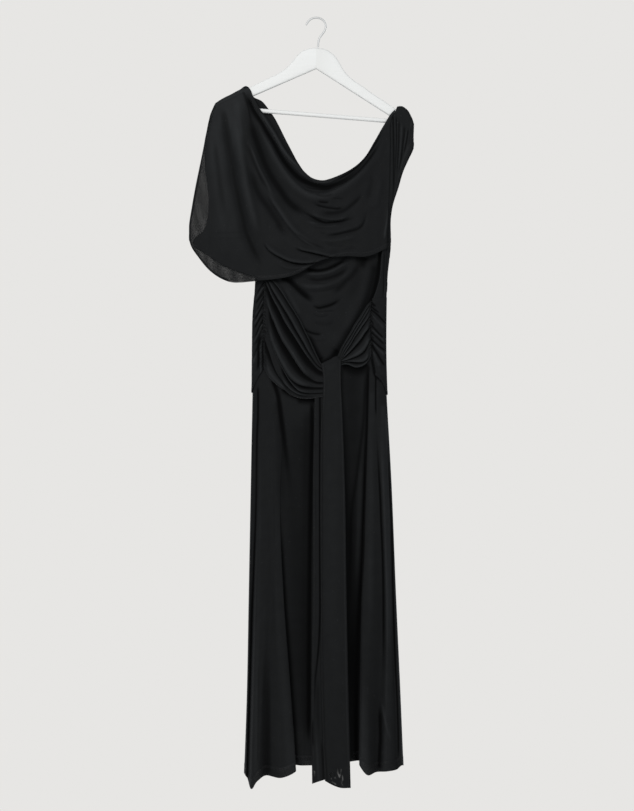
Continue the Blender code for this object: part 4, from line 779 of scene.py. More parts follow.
SKIRT_HEIGHTS = (-1000, -1235, -1470, -1640)
SKIRT_FRONT = [
    # x_hip,   x at -1000, -1235,  -1470,  hem,     depth at -1000, ..., hem,       z_hem
    (-138.3, -142.6, -147, -151.5, -157.5, 0.3, 0.3, 0.3, 0.3, -1628),
    (-136.5, -139, -143.5, -148.5, -153.5, 9, 13, 17, 20, -1631),
    (-133, -131, -136.5, -144, -148.5, 11, 12, 13, 15, -1640),
    (-126, -124, -129, -135, -140, 22, 30, 38, 44, -1655),
    (-112, -110, -113, -120, -127, 25, 34, 43, 49, -1637),
    (-96, -95, -97, -107, -109, 25, 32, 37, 40, -1627),
    (-80, -90, -86, -79, -76, 26, 36, 45, 51, -1630),
    (-66, -80, -72.5, -55.5, -44.5, 26, 36, 44, 49, -1617),
    (-58, -74, -76, -60.5, -51, 23, 24, 24, 24, -1608),
    (-36, -36, -42, -36, -33, 20, 18, 17, 17, -1610),
    (-8, -14, -14, -15, -14, 21, 21, 21, 22, -1609),
    (28, 32, 34, 36, 38, 21, 23, 25, 27, -1607),
    (62, 66, 70, 74, 77, 19, 15, 12, 10, -1602),
    (92, 104, 100, 96, 97, 19, 15, 14, 14, -1601),
    (107, 103.5, 96.5, 92.5, 90.5, 26, 34, 42, 48, -1603),
    (114, 114, 112, 107, 107, 29, 38, 46, 52, -1624),
    (124, 129.5, 137, 132, 126, 25, 29, 33, 34, -1621),
    (133, 143, 151, 150, 148, 27, 35, 43, 48, -1617),
    (140.5, 153, 161, 166, 171, 13, 15, 19, 22, -1618),
    (144.5, 158.5, 167, 176, 182, 9, 13, 17, 19, -1610),
    (147, 160.5, 170, 180.5, 187.5, 0.3, 0.3, 0.3, 0.3, -1613),
]
SKIRT_BACK = [
    (-138.3, -142.6, -147, -151.5, -157.5, 0.3, 0.3, 0.3, 0.3, -1630),
    (-133, -137, -141, -146, -150, 14, 18, 22, 26, -1626),
    (-120, -122, -124, -127, -129, 16, 16, 16, 16, -1616),
    (-100, -102, -106, -110, -112, 28, 38, 46, 52, -1614),
    (-74, -76, -78, -80, -80, 22, 22, 22, 22, -1607),
    (-48, -46, -48, -52, -52, 29, 38, 47, 53, -1612),
    (-20, -22, -20, -20, -18, 24, 24, 22, 20, -1606),
    (8, 8, 10, 12, 14, 30, 40, 48, 55, -1612),
    (34, 36, 38, 42, 44, 24, 24, 24, 24, -1606),
    (62, 64, 70, 76, 80, 28, 37, 46, 52, -1610),
    (88, 94, 98, 104, 108, 22, 20, 20, 20, -1606),
    (112, 118, 126, 132, 138, 27, 34, 42, 48, -1614),
    (130, 140, 147, 154, 160, 16, 18, 18, 18, -1610),
    (141.5, 155, 163, 172, 178, 13, 17, 21, 24, -1613),
    (147, 160.5, 170, 180.5, 187.5, 0.3, 0.3, 0.3, 0.3, -1613),
]
SASH_TOP = [(9, -746), (26, -738), (43, -730.5), (51, -739)]
SASH_LEFT = [(9, -746), (12, -762), (8.5, -880), (7.3, -997), (8.4, -1256), (10.4, -1472), (17, -1638)]
SASH_RIGHT = [(51, -739), (50.5, -762), (55, -880), (59, -997), (63, -1256), (67.2, -1472), (72, -1653)]
SASH_THIN = (
    ([(28, -1623), (31, -1620.5), (35, -1621), (38, -1626), (39, -1631)], 2.6),
    ([(30, -1624), (29, -1629), (31, -1634)], 1.4),
    ([(44, -1613), (45, -1621), (48, -1630), (50, -1623), (51.5, -1614)], 2.2),
    ([(54.5, -1626), (55, -1635), (52, -1642), (55.5, -1648)], 2.0),
    ([(32, -1640), (36, -1642), (40, -1645)], 2.4),
)
UNDER_THIN = (([(2, -1640.5), (5, -1641.5)], 2.6), ([(-6, -1618), (-5, -1628)], 1.8))
SASH_HEM = [(17, -1638), (34, -1647), (50, -1652.5), (72, -1653)]
UNDER_TOP = [(2, -768), (20, -766), (36, -766)]
UNDER_LEFT = [(2, -768), (-3, -800), (-6, -880), (-8, -997), (-9, -1256), (-12, -1472), (-10.5, -1645)]
UNDER_RIGHT = [(36, -766), (36, -800), (38, -880), (39, -997), (38, -1256), (38, -1472), (40, -1630)]
UNDER_HEM = [(-10.5, -1645), (14, -1637), (40, -1630)]
# z, depth
SASH_DEPTH = [(-730, 38.4), (-770, 38.6), (-820, 39.6), (-900, 39.4), (-1200, 40.0), (-1670, 43.0)]
UNDER_DEPTH = [(-766, 35.0), (-800, 34.4), (-900, 34.4), (-1200, 36.0), (-1670, 38.5)]
SASH_CREASES = creases("""
    # height above below lap shade, band, ends | path
    -0.8 1.8 1.8 0 0.6 1.5 1.5 0.02 0.02 | 13,-770 11.5,-880 11,-1000 11.5,-1250 13.5,-1450 19,-1600
        22,-1648
    0.4 2 2 0 -0.1 2 2 0.05 0.05 | 47,-770 51,-880 55,-1000 59,-1256 63,-1472 69,-1655
    0 2 2 0 -0.2 20 20 0.01 0.5 | 30,-740 33,-1000 35,-1250 39,-1450 42,-1600
    1 4 4 0 -0.05 3 3 | 20,-748 26,-756 36,-752 46,-742
    -0.6 9 9 0 0.05 6 6 | 32,-760 31,-850 33,-1000
""")
UNDER_CREASES = creases("""
    # height above below lap shade, band, ends | path
    -1 2 2 0 0.95 2.4 2.6 0.02 0.25 | 6,-770 6.5,-880 6.5,-1000 6.5,-1160 6,-1300 4,-1345 0,-1390 -3.5,-1420
        -5,-1460 -6,-1500 -7,-1545
    -0.5 1.5 1.5 0 0.35 1.2 1.2 | -3,-800 -4,-900 -3,-1060 1,-1130
    0 2 2 0 0.7 3 3 | -9,-1500 -9,-1540 -7,-1575
    0 4 4 0 0.45 4 5 0.3 0.4 | 2,-1390 2,-1460 3,-1530 5,-1590
    0 3 3 0 -0.5 3.6 3.6 0.4 0.02 | -2,-1500 0,-1570 4,-1645
    0 2 2 0 0.6 2.6 2.6 0.3 0.02 | 9,-1540 12,-1600 14,-1645
""")


# ---------------------------------------------------------------- puckers
PLEAT_LENGTHS = (0.6, 1.35)  # least and most share of the mean length
PLEAT_SLOPES = (0.9, 1.5)  # least and most fall for each millimetre across
# least and most painted shade in a pleat's valley
PLEAT_SHADES = (0.5, 0.9)
PLEAT_STEPS = (4.6, 7.4)  # from one pleat down to the next
PLEAT_TO_RIDGE = 2.4  # from a valley down to its ridge
PLEAT_ENDS = (0.02, 0.6)  # shares of its length over which a pleat begins and ends


def puckers(seam: Rows, side: float, reach: float, seed: int) -> list[Crease]:
    """Short uneven pleats that start at a ruched seam and run down from it.

    Args:
        seam: z and x of the seam.
        side: -1 for pleats that run to the left, +1 for the right.
        reach: Their mean length.
        seed: Fixes their unevenness.

    Returns:
        The creases, each valley with its painted shade and a ridge beside it with a painted highlight.
    """
    chance = np.random.default_rng(seed)
    rows = np.array(seam, float)
    pleats, z = [], rows[0, 0] - 3.0
    while z > rows[-1, 0] + 6:
        x = float(np.interp(-z, -rows[:, 0], rows[:, 1]))
        long = reach * chance.uniform(*PLEAT_LENGTHS)
        steep = chance.uniform(*PLEAT_SLOPES)
        path = [(x, z), (x + side * long * 0.5, z - long * 0.5 * steep), (x + side * long, z - long * steep)]
        lower = [(a, b - PLEAT_TO_RIDGE) for a, b in path]
        # painted shade in each pleat's valley, and a painted highlight on the ridge below it
        dark = float(chance.uniform(*PLEAT_SHADES))
        pleats.append(Crease(path, -1.6, above=1.7, below=1.7, shade=dark, band=(1.3, 1.3), ends=PLEAT_ENDS))
        pleats.append(Crease(lower, 1.2, above=1.6, below=1.6, shade=-0.4, band=(1.1, 1.1), ends=PLEAT_ENDS))
        z -= float(chance.uniform(*PLEAT_STEPS))
    return pleats


# ---------------------------------------------------------------- depths
BODY = by_height(BODY_ROWS)
front_field = surface_over(DEPTH_X, DEPTH_Z, FRONT_DEPTH)
back_field = surface_over(DEPTH_X, DEPTH_Z, BACK_DEPTH)


def body_section(z: Array) -> tuple[Array, Array, Array, Array]:
    """Reads the body's tube.

    Args:
        z: Heights.

    Returns:
        x of its middle, its half width, and its depth in front and behind, at each height.
    """
    left, right, in_front, at_back = np.moveaxis(BODY.at(z), -1, 0)
    return (left + right) / 2, (right - left) / 2, in_front, at_back


def body_depth(x: Array, z: Array, out: float = 0.0, behind: bool = False) -> Array:
    """Depth of the body's tube.

    Args:
        x: Points across.
        z: Points up.
        out: How far outside the tube.
        behind: The back of the tube and not its front.

    Returns:
        The distance from the middle plane.
    """
    middle, half, in_front, at_back = body_section(z)
    depth = at_back if behind else in_front
    share = np.clip(np.abs(x - middle) / (half + out), 0, 1)
    return HALF_GAP + (depth + out) * (1 - share**BODY_POWER) ** (1 / BODY_POWER)


def closing(x: Array, z: Array, rows: Rows) -> tuple[Array, Array]:
    """Rounds a sheet off towards the edge where front and back meet.

    Args:
        x: Points across.
        z: Points up.
        rows: The edge: x, z, width of the rounding, distance of each sheet from the middle plane.

    Returns:
        How far each point has left the edge, 0 to 1, and the gap at the edge there.
    """
    table = np.array(rows, float)
    foot = beside(x, z, table)
    lengths = travelled(table[:, :2])
    roll = np.interp(foot.along, lengths / lengths[-1], table[:, 2])
    gap = np.interp(foot.along, lengths / lengths[-1], table[:, 3])
    return np.sqrt(1 - (1 - np.clip(foot.distance / roll, 0, 1)) ** 2), gap


def over_hanger(x: Array, z: Array) -> Array:
    """Works out the least depth that clears the hanger's wood and bar.

    Args:
        x: Points across.
        z: Points up.

    Returns:
        The depth.
    """
    bar_x, bar_z, bar_slope = BAR_LINE
    wood_x, wood_z, wood_slope = WOOD_LINE
    bar = bar_z + bar_slope * (x - bar_x)
    wood = wood_z + wood_slope * np.abs(x - wood_x)
    over_bar = BAR_CLEAR * (1 - ease(np.abs(z - bar), 5, 12))
    return np.maximum(over_bar, WOOD_CLEAR * ease(z, wood - 12, wood - 2))


def overlay_depth(x: Array, z: Array, rise: Array | float) -> Array:
    """Works out the depth of the overlay's front with its creases.

    Args:
        x: Points across.
        z: Points up.
        rise: Height of the creases there.

    Returns:
        The distance from the middle plane.
    """
    open_share, gap = closing(x, z, LEFT_CLOSING)
    sunk = np.minimum(rise, 0) * ease(-z, *VALLEYS_DEEPEN) + np.maximum(rise, 0)
    depth = np.maximum(front_field(x, z) + sunk, over_hanger(x, z))
    return np.maximum(gap + (depth - gap) * open_share, gap)


def lining_depth(x: Array, z: Array) -> Array:
    """Works out the depth of the lining, close behind the overlay at the neck and free of its creases below.

    Args:
        x: Points across.
        z: Points up.

    Returns:
        The distance from the middle plane.
    """
    neck = beside(x, z, np.array(FRONT_NECK, float)).distance
    low = ease(-z, *HEM_HEIGHTS)
    free = ease(neck, 0, NECK_REACH) * ease(-z, *NECK_HEIGHTS)
    open_share, gap = closing(x, z, LEFT_CLOSING)
    base = gap + (front_field(x, z) - gap) * open_share
    loose = (1 - SLACK * free * (1 - low) - HEM_SLACK * low) * base - LINING_BEHIND
    over = overlay_depth(x, z, relief(x, z, OVERLAY_CREASES).rise)
    return np.maximum(np.minimum(loose, over - LAYER), HALF_GAP)


def sleeve_sheer(x: Array, z: Array) -> Array:
    """Works out how sheer the overlay is: only past the lining, and inside the sewn edge.

    Args:
        x: Points across.
        z: Points up.

    Returns:
        A share, 1 where only the mesh is there.
    """
    sewn = ease(beside(x, z, np.array(ARM_SEAM + SLEEVE_HEM[1:], float)).distance, *SEWN_EDGE)
    unlined = 1 - ease(lined(x, z), 0, LINING_FADE)
    return sewn * unlined * ease(-x, *SHEER_FROM_X) * ease(-z, *SHEER_FROM_Z)


def waist(left: float, right: float) -> list[tuple[float, float]]:
    """The waistline between two places across."""
    across = Smooth(*np.array(WAIST_ROWS, float).T)
    return [(x, float(across.at(x))) for x in np.linspace(left, right, 9)]


def lined(x: Array, z: Array) -> Array:
    """Works out how far inside the lining's outline points are.

    Args:
        x: Points across.
        z: Points up.

    Returns:
        The distance, negative where the mesh has nothing behind it.
    """
    outline = np.array(LINING_SIDE + LINING_HEM[1:], float)
    foot = beside(x, z, outline)
    return foot.distance * foot.side


# ---------------------------------------------------------------- finishes
class Held(Enum):
    """How a sheet of cloth is held."""

    HUNG = "hung"
    DRAPED = "draped"
    GATHERED = "gathered"


class Weave(Enum):
    """Where a sheet's sheer zone is."""

    SLEEVE = "sleeve"
    HEM = "hem"
    END = "end"


class Slot(Enum):
    """The record's material slots."""

    WOOD = "white_wood"
    STEEL = "hook_steel"
    MESH = "black_mesh_jersey"
    LINING = "black_lining"


def new_group(
    name: str, inputs: dict[str, tuple[str, object]], outputs: dict[str, str],
) -> bpy.types.NodeTree:
    """Makes an empty shader group.

    Args:
        name: Its name.
        inputs: Name of each input, with its kind and its value.
        outputs: Name of each output, with its kind.

    Returns:
        The group, with its input and output nodes named "in" and "out".
    """
    group = bpy.data.node_groups.new(name, "ShaderNodeTree")
    for label, (kind, value) in inputs.items():
        socket = group.interface.new_socket(label, in_out="INPUT", socket_type=kind)
        socket.default_value = value
    for label, kind in outputs.items():
        group.interface.new_socket(label, in_out="OUTPUT", socket_type=kind)
    group.nodes.new("NodeGroupInput").name = "in"
    group.nodes.new("NodeGroupOutput").name = "out"
    return group


class Wiring:
    """Short calls for building a node tree."""

    def __init__(self, tree: bpy.types.NodeTree) -> None:
        """Works on one tree."""
        self.tree = tree

    def node(self, kind: str, **settings: object) -> bpy.types.Node:
        """Adds a node.

        Args:
            kind: The node's type.
            settings: Its properties.

        Returns:
            The node.
        """
        made = self.tree.nodes.new(kind)
        for key, value in settings.items():
            setattr(made, key, value)
        return made

    def feed(self, target: bpy.types.NodeSocket, source: object) -> None:
        """Links a socket to a target, or sets the target's value.

        Args:
            target: An input socket.
            source: An output socket or a value.
        """
        if isinstance(source, bpy.types.NodeSocket):
            self.tree.links.new(source, target)
        else:
            target.default_value = source

    def maths(self, operation: str, *values: object, clamp: bool = False) -> bpy.types.NodeSocket:
        """Adds a Math node.

        Args:
            operation: What it does.
            values: Sockets or numbers.
            clamp: Keep the result between 0 and 1.

        Returns:
            Its result.
        """
        made = self.node("ShaderNodeMath", operation=operation, use_clamp=clamp)
        for target, value in zip(made.inputs, values):
            self.feed(target, value)
        return made.outputs[0]

    def span(
        self, value: object, low: float, high: float, to_low: object, to_high: object,
    ) -> bpy.types.NodeSocket:
        """Maps a value from one range to another, smoothly and clamped.

        Args:
            value: A socket.
            low: Start of its range.
            high: End of its range.
            to_low: What the start becomes.
            to_high: What the end becomes.

        Returns:
            The result.
        """
        made = self.node("ShaderNodeMapRange", interpolation_type="SMOOTHSTEP")
        for target, source in zip(made.inputs, (value, low, high, to_low, to_high)):
            self.feed(target, source)
        return made.outputs[0]

    def noise(self, vector: object, scale: object, detail: float = 2.0) -> bpy.types.NodeSocket:
        """Adds a Noise texture.

        Args:
            vector: Where it is read.
            scale: How fine it is.
            detail: How many finer layers it has.

        Returns:
            Its value.
        """
        made = self.node("ShaderNodeTexNoise")
        self.fill(made, Vector=vector, Scale=scale, Detail=detail)
        return made.outputs[0]

    def mix(self, share: object, first: object, second: object) -> bpy.types.NodeSocket:
        """Mixes two colours.

        Args:
            share: How much of the second.
            first: A colour.
            second: Another.

        Returns:
            The mixture.
        """
        made = self.node("ShaderNodeMix", data_type="RGBA")
        for target, source in zip((made.inputs[0], made.inputs[6], made.inputs[7]), (share, first, second)):
            self.feed(target, source)
        return made.outputs[2]

    def fill(self, node: bpy.types.Node, **sources: object) -> None:
        """Feeds several inputs of a node; an underscore in a name stands for a space."""
        for name, source in sources.items():
            self.feed(node.inputs[name.replace("_", " ")], source)

    def bump(self, shader: bpy.types.Node, height: object, strength: float, distance: float) -> None:
        """Roughens a shader's surface.

        Args:
            shader: The shader.
            height: The socket of the pattern's height.
            strength: How strong it is.
            distance: How high it is, in metres.
        """
        made = self.node("ShaderNodeBump")
        self.fill(made, Strength=strength, Distance=distance, Height=height)
        self.feed(shader.inputs["Normal"], made.outputs[0])


def new_finish(name: str) -> tuple[bpy.types.Material, Wiring, bpy.types.Node]:
    """Starts a material.

    Args:
        name: Its name.

    Returns:
        The material, the wiring of its nodes and its shader.
    """
    made = bpy.data.materials.new(name)
    made.use_nodes = True
    return made, Wiring(made.node_tree), made.node_tree.nodes["Principled BSDF"]


def knit_group() -> bpy.types.NodeTree:
    """Fine jersey: rows of loops, a soft unevenness and a few pale fibres.

    Returns:
        The group.
    """
    group = new_group(
        "fine_jersey_knit",
        {"Vector": ("NodeSocketVector", (0.0, 0.0, 0.0)), "Loops per metre": ("NodeSocketFloat", 1400.0)},
        {"Height": "NodeSocketFloat", "Tone": "NodeSocketFloat", "Lint": "NodeSocketFloat"},
    )
    w = Wiring(group)
    vector, loops = (group.nodes["in"].outputs[i] for i in range(2))
    waves = []
    for direction, share in (("X", 1.0), ("Y", 0.8)):
        wave = w.node("ShaderNodeTexWave", bands_direction=direction)
        w.fill(wave, Vector=vector, Scale=w.maths("MULTIPLY", loops, 0.159 * share), Distortion=0.6)
        waves.append(wave.outputs["Fac"])
    height = w.maths("MULTIPLY", waves[0], w.maths("ADD", w.maths("MULTIPLY", waves[1], 0.5), 0.5))
    soft = w.noise(vector, 38.0, 3.0)
    fine = w.noise(vector, 620.0, 2.0)
    tone = w.maths("ADD", w.maths("MULTIPLY", soft, 0.5), w.maths("MULTIPLY", fine, 0.5))
    lint = w.span(w.noise(vector, 240.0, 1.0), 0.71, 0.78, 0.0, 1.0)
    for target, source in zip(group.nodes["out"].inputs, (height, tone, lint)):
        w.feed(target, source)
    return group


def mesh_group() -> bpy.types.NodeTree:
    """Sheer mesh: how solid it is, with its small holes and the slow bands of two layers over each other.

    Returns:
        The group.
    """
    group = new_group(
        "sheer_power_mesh",
        {
            "Vector": ("NodeSocketVector", (0.0, 0.0, 0.0)),
            "Solid": ("NodeSocketFloat", 0.56),
            "Bands": ("NodeSocketFloat", 0.08),
            "Swirls per metre": ("NodeSocketFloat", 14.0),
        },
        {"Alpha": "NodeSocketFloat"},
    )
    w = Wiring(group)
    vector, solid, bands, swirls = (group.nodes["in"].outputs[i] for i in range(4))
    slow = w.node("ShaderNodeTexWave", bands_direction="DIAGONAL")
    w.fill(slow, Vector=vector, Scale=swirls, Distortion=9.0, Detail=1.0, Detail_Scale=0.6)
    drift = w.noise(vector, w.maths("MULTIPLY", swirls, 0.65), 1.0)
    swirl = w.maths("SUBTRACT", w.maths("MULTIPLY", slow.outputs["Fac"], drift), 0.25)
    fine = w.maths("SUBTRACT", w.noise(vector, 420.0, 1.0), 0.5)
    alpha = w.maths("ADD", solid, w.maths("MULTIPLY", swirl, bands))
    alpha = w.maths("ADD", alpha, w.maths("MULTIPLY", fine, 0.12), clamp=True)
    w.feed(group.nodes["out"].inputs[0], alpha)
    return group


def shade_group() -> bpy.types.NodeTree:
    """Colour of cloth with painted shade where a crease hides it and painted highlights where its shade is
    negative, and its roughness.

    Returns:
        The group.
    """
    group = new_group(
        "crease_shade",
        {
            "Colour": ("NodeSocketColor", (0.02, 0.02, 0.02, 1.0)),
            "Tone": ("NodeSocketFloat", 0.5),
            "Lint": ("NodeSocketFloat", 0.0),
        },
        {"Colour": "NodeSocketColor", "Rough": "NodeSocketFloat"},
    )
    w = Wiring(group)
    colour, tone, lint = (group.nodes["in"].outputs[i] for i in range(3))
    hidden = w.node("ShaderNodeAttribute", attribute_name="shade").outputs["Fac"]
    # painted shade darkens the colour to a tenth at most; a negative shade paints a highlight up to 2.3 times
    # paler
    open_share = w.span(hidden, 0.0, 1.0, 1.0, 0.10)
    paler = w.span(hidden, -1.0, 0.0, 2.3, 1.0)
    uneven = w.span(tone, 0.25, 0.75, 0.86, 1.14)
    strength = w.maths("MULTIPLY", w.maths("MULTIPLY", open_share, paler), uneven)
    scaled = w.node("ShaderNodeVectorMath", operation="SCALE")
    w.feed(scaled.inputs[0], colour)
    w.feed(scaled.inputs["Scale"], strength)
    fibre = w.maths("MULTIPLY", w.maths("MULTIPLY", lint, open_share), 0.05)
    w.feed(group.nodes["out"].inputs[0], w.mix(fibre, scaled.outputs[0], (0.25, 0.25, 0.26, 1.0)))
    w.feed(group.nodes["out"].inputs[1], w.span(hidden, 0.0, 1.0, 0.74, 0.95))
    return group


@dataclass(frozen=True)
class Jersey:
    """Black jersey, solid or sheer."""

    name: str
    colour: tuple[float, float, float] = (0.0086, 0.0091, 0.0095)
    sheen: float = 0.05
    specular: float = 0.09
    loops: float = 1400.0
    solid: float = 1.0  # below 1 it lets light through
    bands: float = 0.0
    swirls: float = 14.0

    def make(self, groups: dict[str, bpy.types.NodeTree]) -> bpy.types.Material:
        """Builds the material.

        Args:
            groups: The shader groups by name.

        Returns:
            The material.
        """
        made, w, shader = new_finish(self.name)
        uv = w.node("ShaderNodeUVMap", uv_map="cloth").outputs[0]
        knit = w.node("ShaderNodeGroup", node_tree=groups["knit"])
        w.fill(knit, Vector=uv, Loops_per_metre=self.loops)
        # painted shade in creases and hollows, and painted highlights, from the sheet's shade attribute
        shade = w.node("ShaderNodeGroup", node_tree=groups["shade"])
        w.fill(shade, Colour=(*self.colour, 1.0), Tone=knit.outputs["Tone"], Lint=knit.outputs["Lint"])
        w.fill(shader, Base_Color=shade.outputs["Colour"], Roughness=shade.outputs["Rough"])
        w.bump(shader, knit.outputs["Height"], 0.25, 0.0002)
        w.fill(shader, Specular_IOR_Level=self.specular, Sheen_Weight=self.sheen)
        w.fill(shader, Sheen_Roughness=0.45, Sheen_Tint=(0.5, 0.52, 0.55, 1.0))
        if self.bands > 0:
            mesh = w.node("ShaderNodeGroup", node_tree=groups["mesh"])
            w.fill(mesh, Vector=uv, Solid=self.solid, Bands=self.bands, Swirls_per_metre=self.swirls)
            thin = w.node("ShaderNodeAttribute", attribute_name="thin").outputs["Fac"]
            missing = w.maths("MULTIPLY", thin, w.maths("SUBTRACT", 1.0, mesh.outputs["Alpha"]))
            w.feed(shader.inputs["Alpha"], w.maths("SUBTRACT", 1.0, missing, clamp=True))
        made.diffuse_color = (*self.colour, 1.0)
        return made


@dataclass(frozen=True)
class Painted:
    """White paint over wood."""

    name: str = "white_satin_paint"
    colour: tuple[float, float, float] = (0.86, 0.86, 0.84)
    worn: tuple[float, float, float] = (0.70, 0.69, 0.66)
    grain: float = 22.0
    joint_at: float = -0.002  # x of the joint in the wood, in metres
    joint_low: float = -0.13  # z below which there is only the bar
    joint_reach: float = 0.05
    joint_tone: float = 0.28

    def make(self) -> bpy.types.Material:
        """Builds the material.

        Returns:
            The material.
        """
        made, w, shader = new_finish(self.name)
        place = w.node("ShaderNodeTexCoord").outputs["Object"]
        stretched = w.node("ShaderNodeMapping")
        w.fill(stretched, Vector=place, Scale=(1.0, 14.0, 14.0))
        grain = w.noise(stretched.outputs[0], self.grain, 5.0)
        marks = w.span(w.noise(place, 90.0, 4.0), 0.66, 0.8, 0.0, 0.5)
        streaks = w.span(grain, 0.3, 0.75, 0.0, 0.12)
        worn = w.maths("MAXIMUM", w.maths("MAXIMUM", marks, streaks), self.joint(w, place))
        colour = w.mix(worn, (*self.colour, 1.0), (*self.worn, 1.0))
        rough = w.span(grain, 0.2, 0.8, 0.62, 0.76)
        w.fill(shader, Base_Color=colour, Roughness=rough, Specular_IOR_Level=0.25)
        w.bump(shader, grain, 0.15, 0.0002)
        return made

    def joint(self, w: Wiring, place: bpy.types.NodeSocket) -> bpy.types.NodeSocket:
        """Darkens the paint a little to the right of the joint in the middle of the wood.

        Args:
            w: The node tree.
            place: Where a point is, in metres.

        Returns:
            How worn the paint looks there, 0 to 1.
        """
        parts = w.node("ShaderNodeSeparateXYZ")
        w.feed(parts.inputs[0], place)
        right = w.maths("GREATER_THAN", parts.outputs["X"], self.joint_at)
        above = w.maths("GREATER_THAN", parts.outputs["Z"], self.joint_low)
        end = self.joint_at + self.joint_reach
        fading = w.span(parts.outputs["X"], self.joint_at, end, self.joint_tone, 0.0)
        return w.maths("MULTIPLY", w.maths("MULTIPLY", right, above), fading)


@dataclass(frozen=True)
class Steel:
    """Plated wire with fine drawing marks."""

    name: str = "plated_hook_wire"
    colour: tuple[float, float, float] = (0.70, 0.70, 0.69)
    dull: tuple[float, float, float] = (0.54, 0.53, 0.51)

    def make(self) -> bpy.types.Material:
        """Builds the material.

        Returns:
            The material.
        """
        made, w, shader = new_finish(self.name)
        uv = w.node("ShaderNodeUVMap", uv_map="cloth").outputs[0]
        drawn = w.node("ShaderNodeMapping")
        w.fill(drawn, Vector=uv, Scale=(1.0, 60.0, 1.0))
        marks = w.noise(drawn.outputs[0], 60.0, 4.0)
        place = w.node("ShaderNodeTexCoord").outputs["Object"]
        spots = w.span(w.noise(place, 260.0, 3.0), 0.6, 0.75, 0.0, 0.4)
        colour = w.mix(spots, (*self.colour, 1.0), (*self.dull, 1.0))
        w.fill(shader, Base_Color=colour, Roughness=w.span(marks, 0.2, 0.8, 0.5, 0.62), Metallic=0.7)
        w.bump(shader, marks, 0.08, 0.0001)
        return made


@dataclass(frozen=True)
class Thread:
    """Black sewing thread with a twist and a soft shine."""

    name: str = "black_sewing_thread"
    colour: tuple[float, float, float] = (0.020, 0.020, 0.021)

    def make(self) -> bpy.types.Material:
        """Builds the material.

        Returns:
            The material.
        """
        made, w, shader = new_finish(self.name)
        place = w.node("ShaderNodeTexCoord").outputs["Object"]
        twist = w.noise(place, 1800.0, 1.0)
        dark = tuple(0.7 * part for part in self.colour)
        colour = w.mix(twist, (*self.colour, 1.0), (*dark, 1.0))
        rough = w.span(twist, 0.3, 0.7, 0.42, 0.6)
        w.fill(shader, Base_Color=colour, Roughness=rough, Specular_IOR_Level=0.25)
        return made


class Finishes:
    """Every finish of the dress and its hanger."""

    def __init__(self) -> None:
        """Builds the shader groups and the materials."""
        groups = {"knit": knit_group(), "mesh": mesh_group(), "shade": shade_group()}
        self.jersey = Jersey("black_jersey").make(groups)
        self.sheer = {
            Weave.SLEEVE: Jersey("sheer_black_mesh", solid=0.58, bands=0.20).make(groups),
            Weave.HEM: Jersey("sheer_black_mesh_hem", solid=0.975, bands=0.16, swirls=9.0).make(groups),
            Weave.END: Jersey("sheer_black_mesh_end", solid=0.76, bands=0.5, swirls=24.0).make(groups),
        }
        self.lining = Jersey("black_lining_jersey", sheen=0.03, loops=1700.0).make(groups)
        self.paint = Painted().make()
        self.steel = Steel().make()
        self.thread = Thread().make()


# ---------------------------------------------------------------- meshes
class Laid(NamedTuple):
    """A sheet's points in millimetres and its painted shade."""

    x: Array
    y: Array
    z: Array
    shade: Array


def add_object(name: str, data: bpy.types.ID) -> bpy.types.Object:
    """Puts a new object in the scene.

    Args:
        name: Its name.
        data: Its mesh, camera or light.

    Returns:
        The object.
    """
    made = bpy.data.objects.new(name, data)
    bpy.context.scene.collection.objects.link(made)
    return made


def add_mesh(name: str, points: Array, faces: Array, uv: Array | None = None) -> bpy.types.Object:
    """Makes a smooth mesh object.

    Args:
        name: Its name.
        points: Its corners in millimetres.
        faces: Quads as corner numbers; the last two are the same in a triangle.
        uv: A place on the cloth in metres for each corner.

    Returns:
        The object, in the scene.
    """
    mesh = bpy.data.meshes.new(name)
    triangles = faces[:, 2] == faces[:, 3]
    sizes = np.where(triangles, 3, 4)
    corners = faces.ravel()
    if triangles.any():
        corners = np.concatenate([row[:size] for row, size in zip(faces, sizes)])
    mesh.vertices.add(len(points))
    mesh.vertices.foreach_set("co", (points * MM).astype(np.float32).ravel())
    mesh.loops.add(len(corners))
    mesh.loops.foreach_set("vertex_index", corners.astype(np.int32))
    mesh.polygons.add(len(faces))
    mesh.polygons.foreach_set("loop_start", np.concatenate([[0], np.cumsum(sizes)[:-1]]).astype(np.int32))
    mesh.polygons.foreach_set("use_smooth", np.ones(len(faces), bool))
    mesh.update(calc_edges=True)
    if uv is not None:
        layer = mesh.uv_layers.new(name="cloth")
        layer.data.foreach_set("uv", uv[corners].astype(np.float32).ravel())
    mesh.validate()
    return add_object(name, mesh)


def rod_faces(rings: int, sides: int) -> Array:
    """Works out the faces of a closed rod: its side, then a cap at each end round one more corner.

    Args:
        rings: How many rings of corners it has.
        sides: Corners in a ring.

    Returns:
        The faces. The middles of the caps are the two corners after the last ring's.
    """
    i, j = np.meshgrid(np.arange(rings - 1), np.arange(sides), indexing="ij")
    k = (j + 1) % sides
    quad = [i * sides + j, i * sides + k, (i + 1) * sides + k, (i + 1) * sides + j]
    faces = np.stack(quad, -1).reshape(-1, 4)
    around = np.arange(sides)
    after = (around + 1) % sides
    first, last, end = np.full(sides, rings * sides), np.full(sides, rings * sides + 1), (rings - 1) * sides
    start_cap = np.stack([after, around, first, first], -1)
    end_cap = np.stack([end + around, end + after, last, last], -1)
    return np.concatenate([faces, start_cap, end_cap])


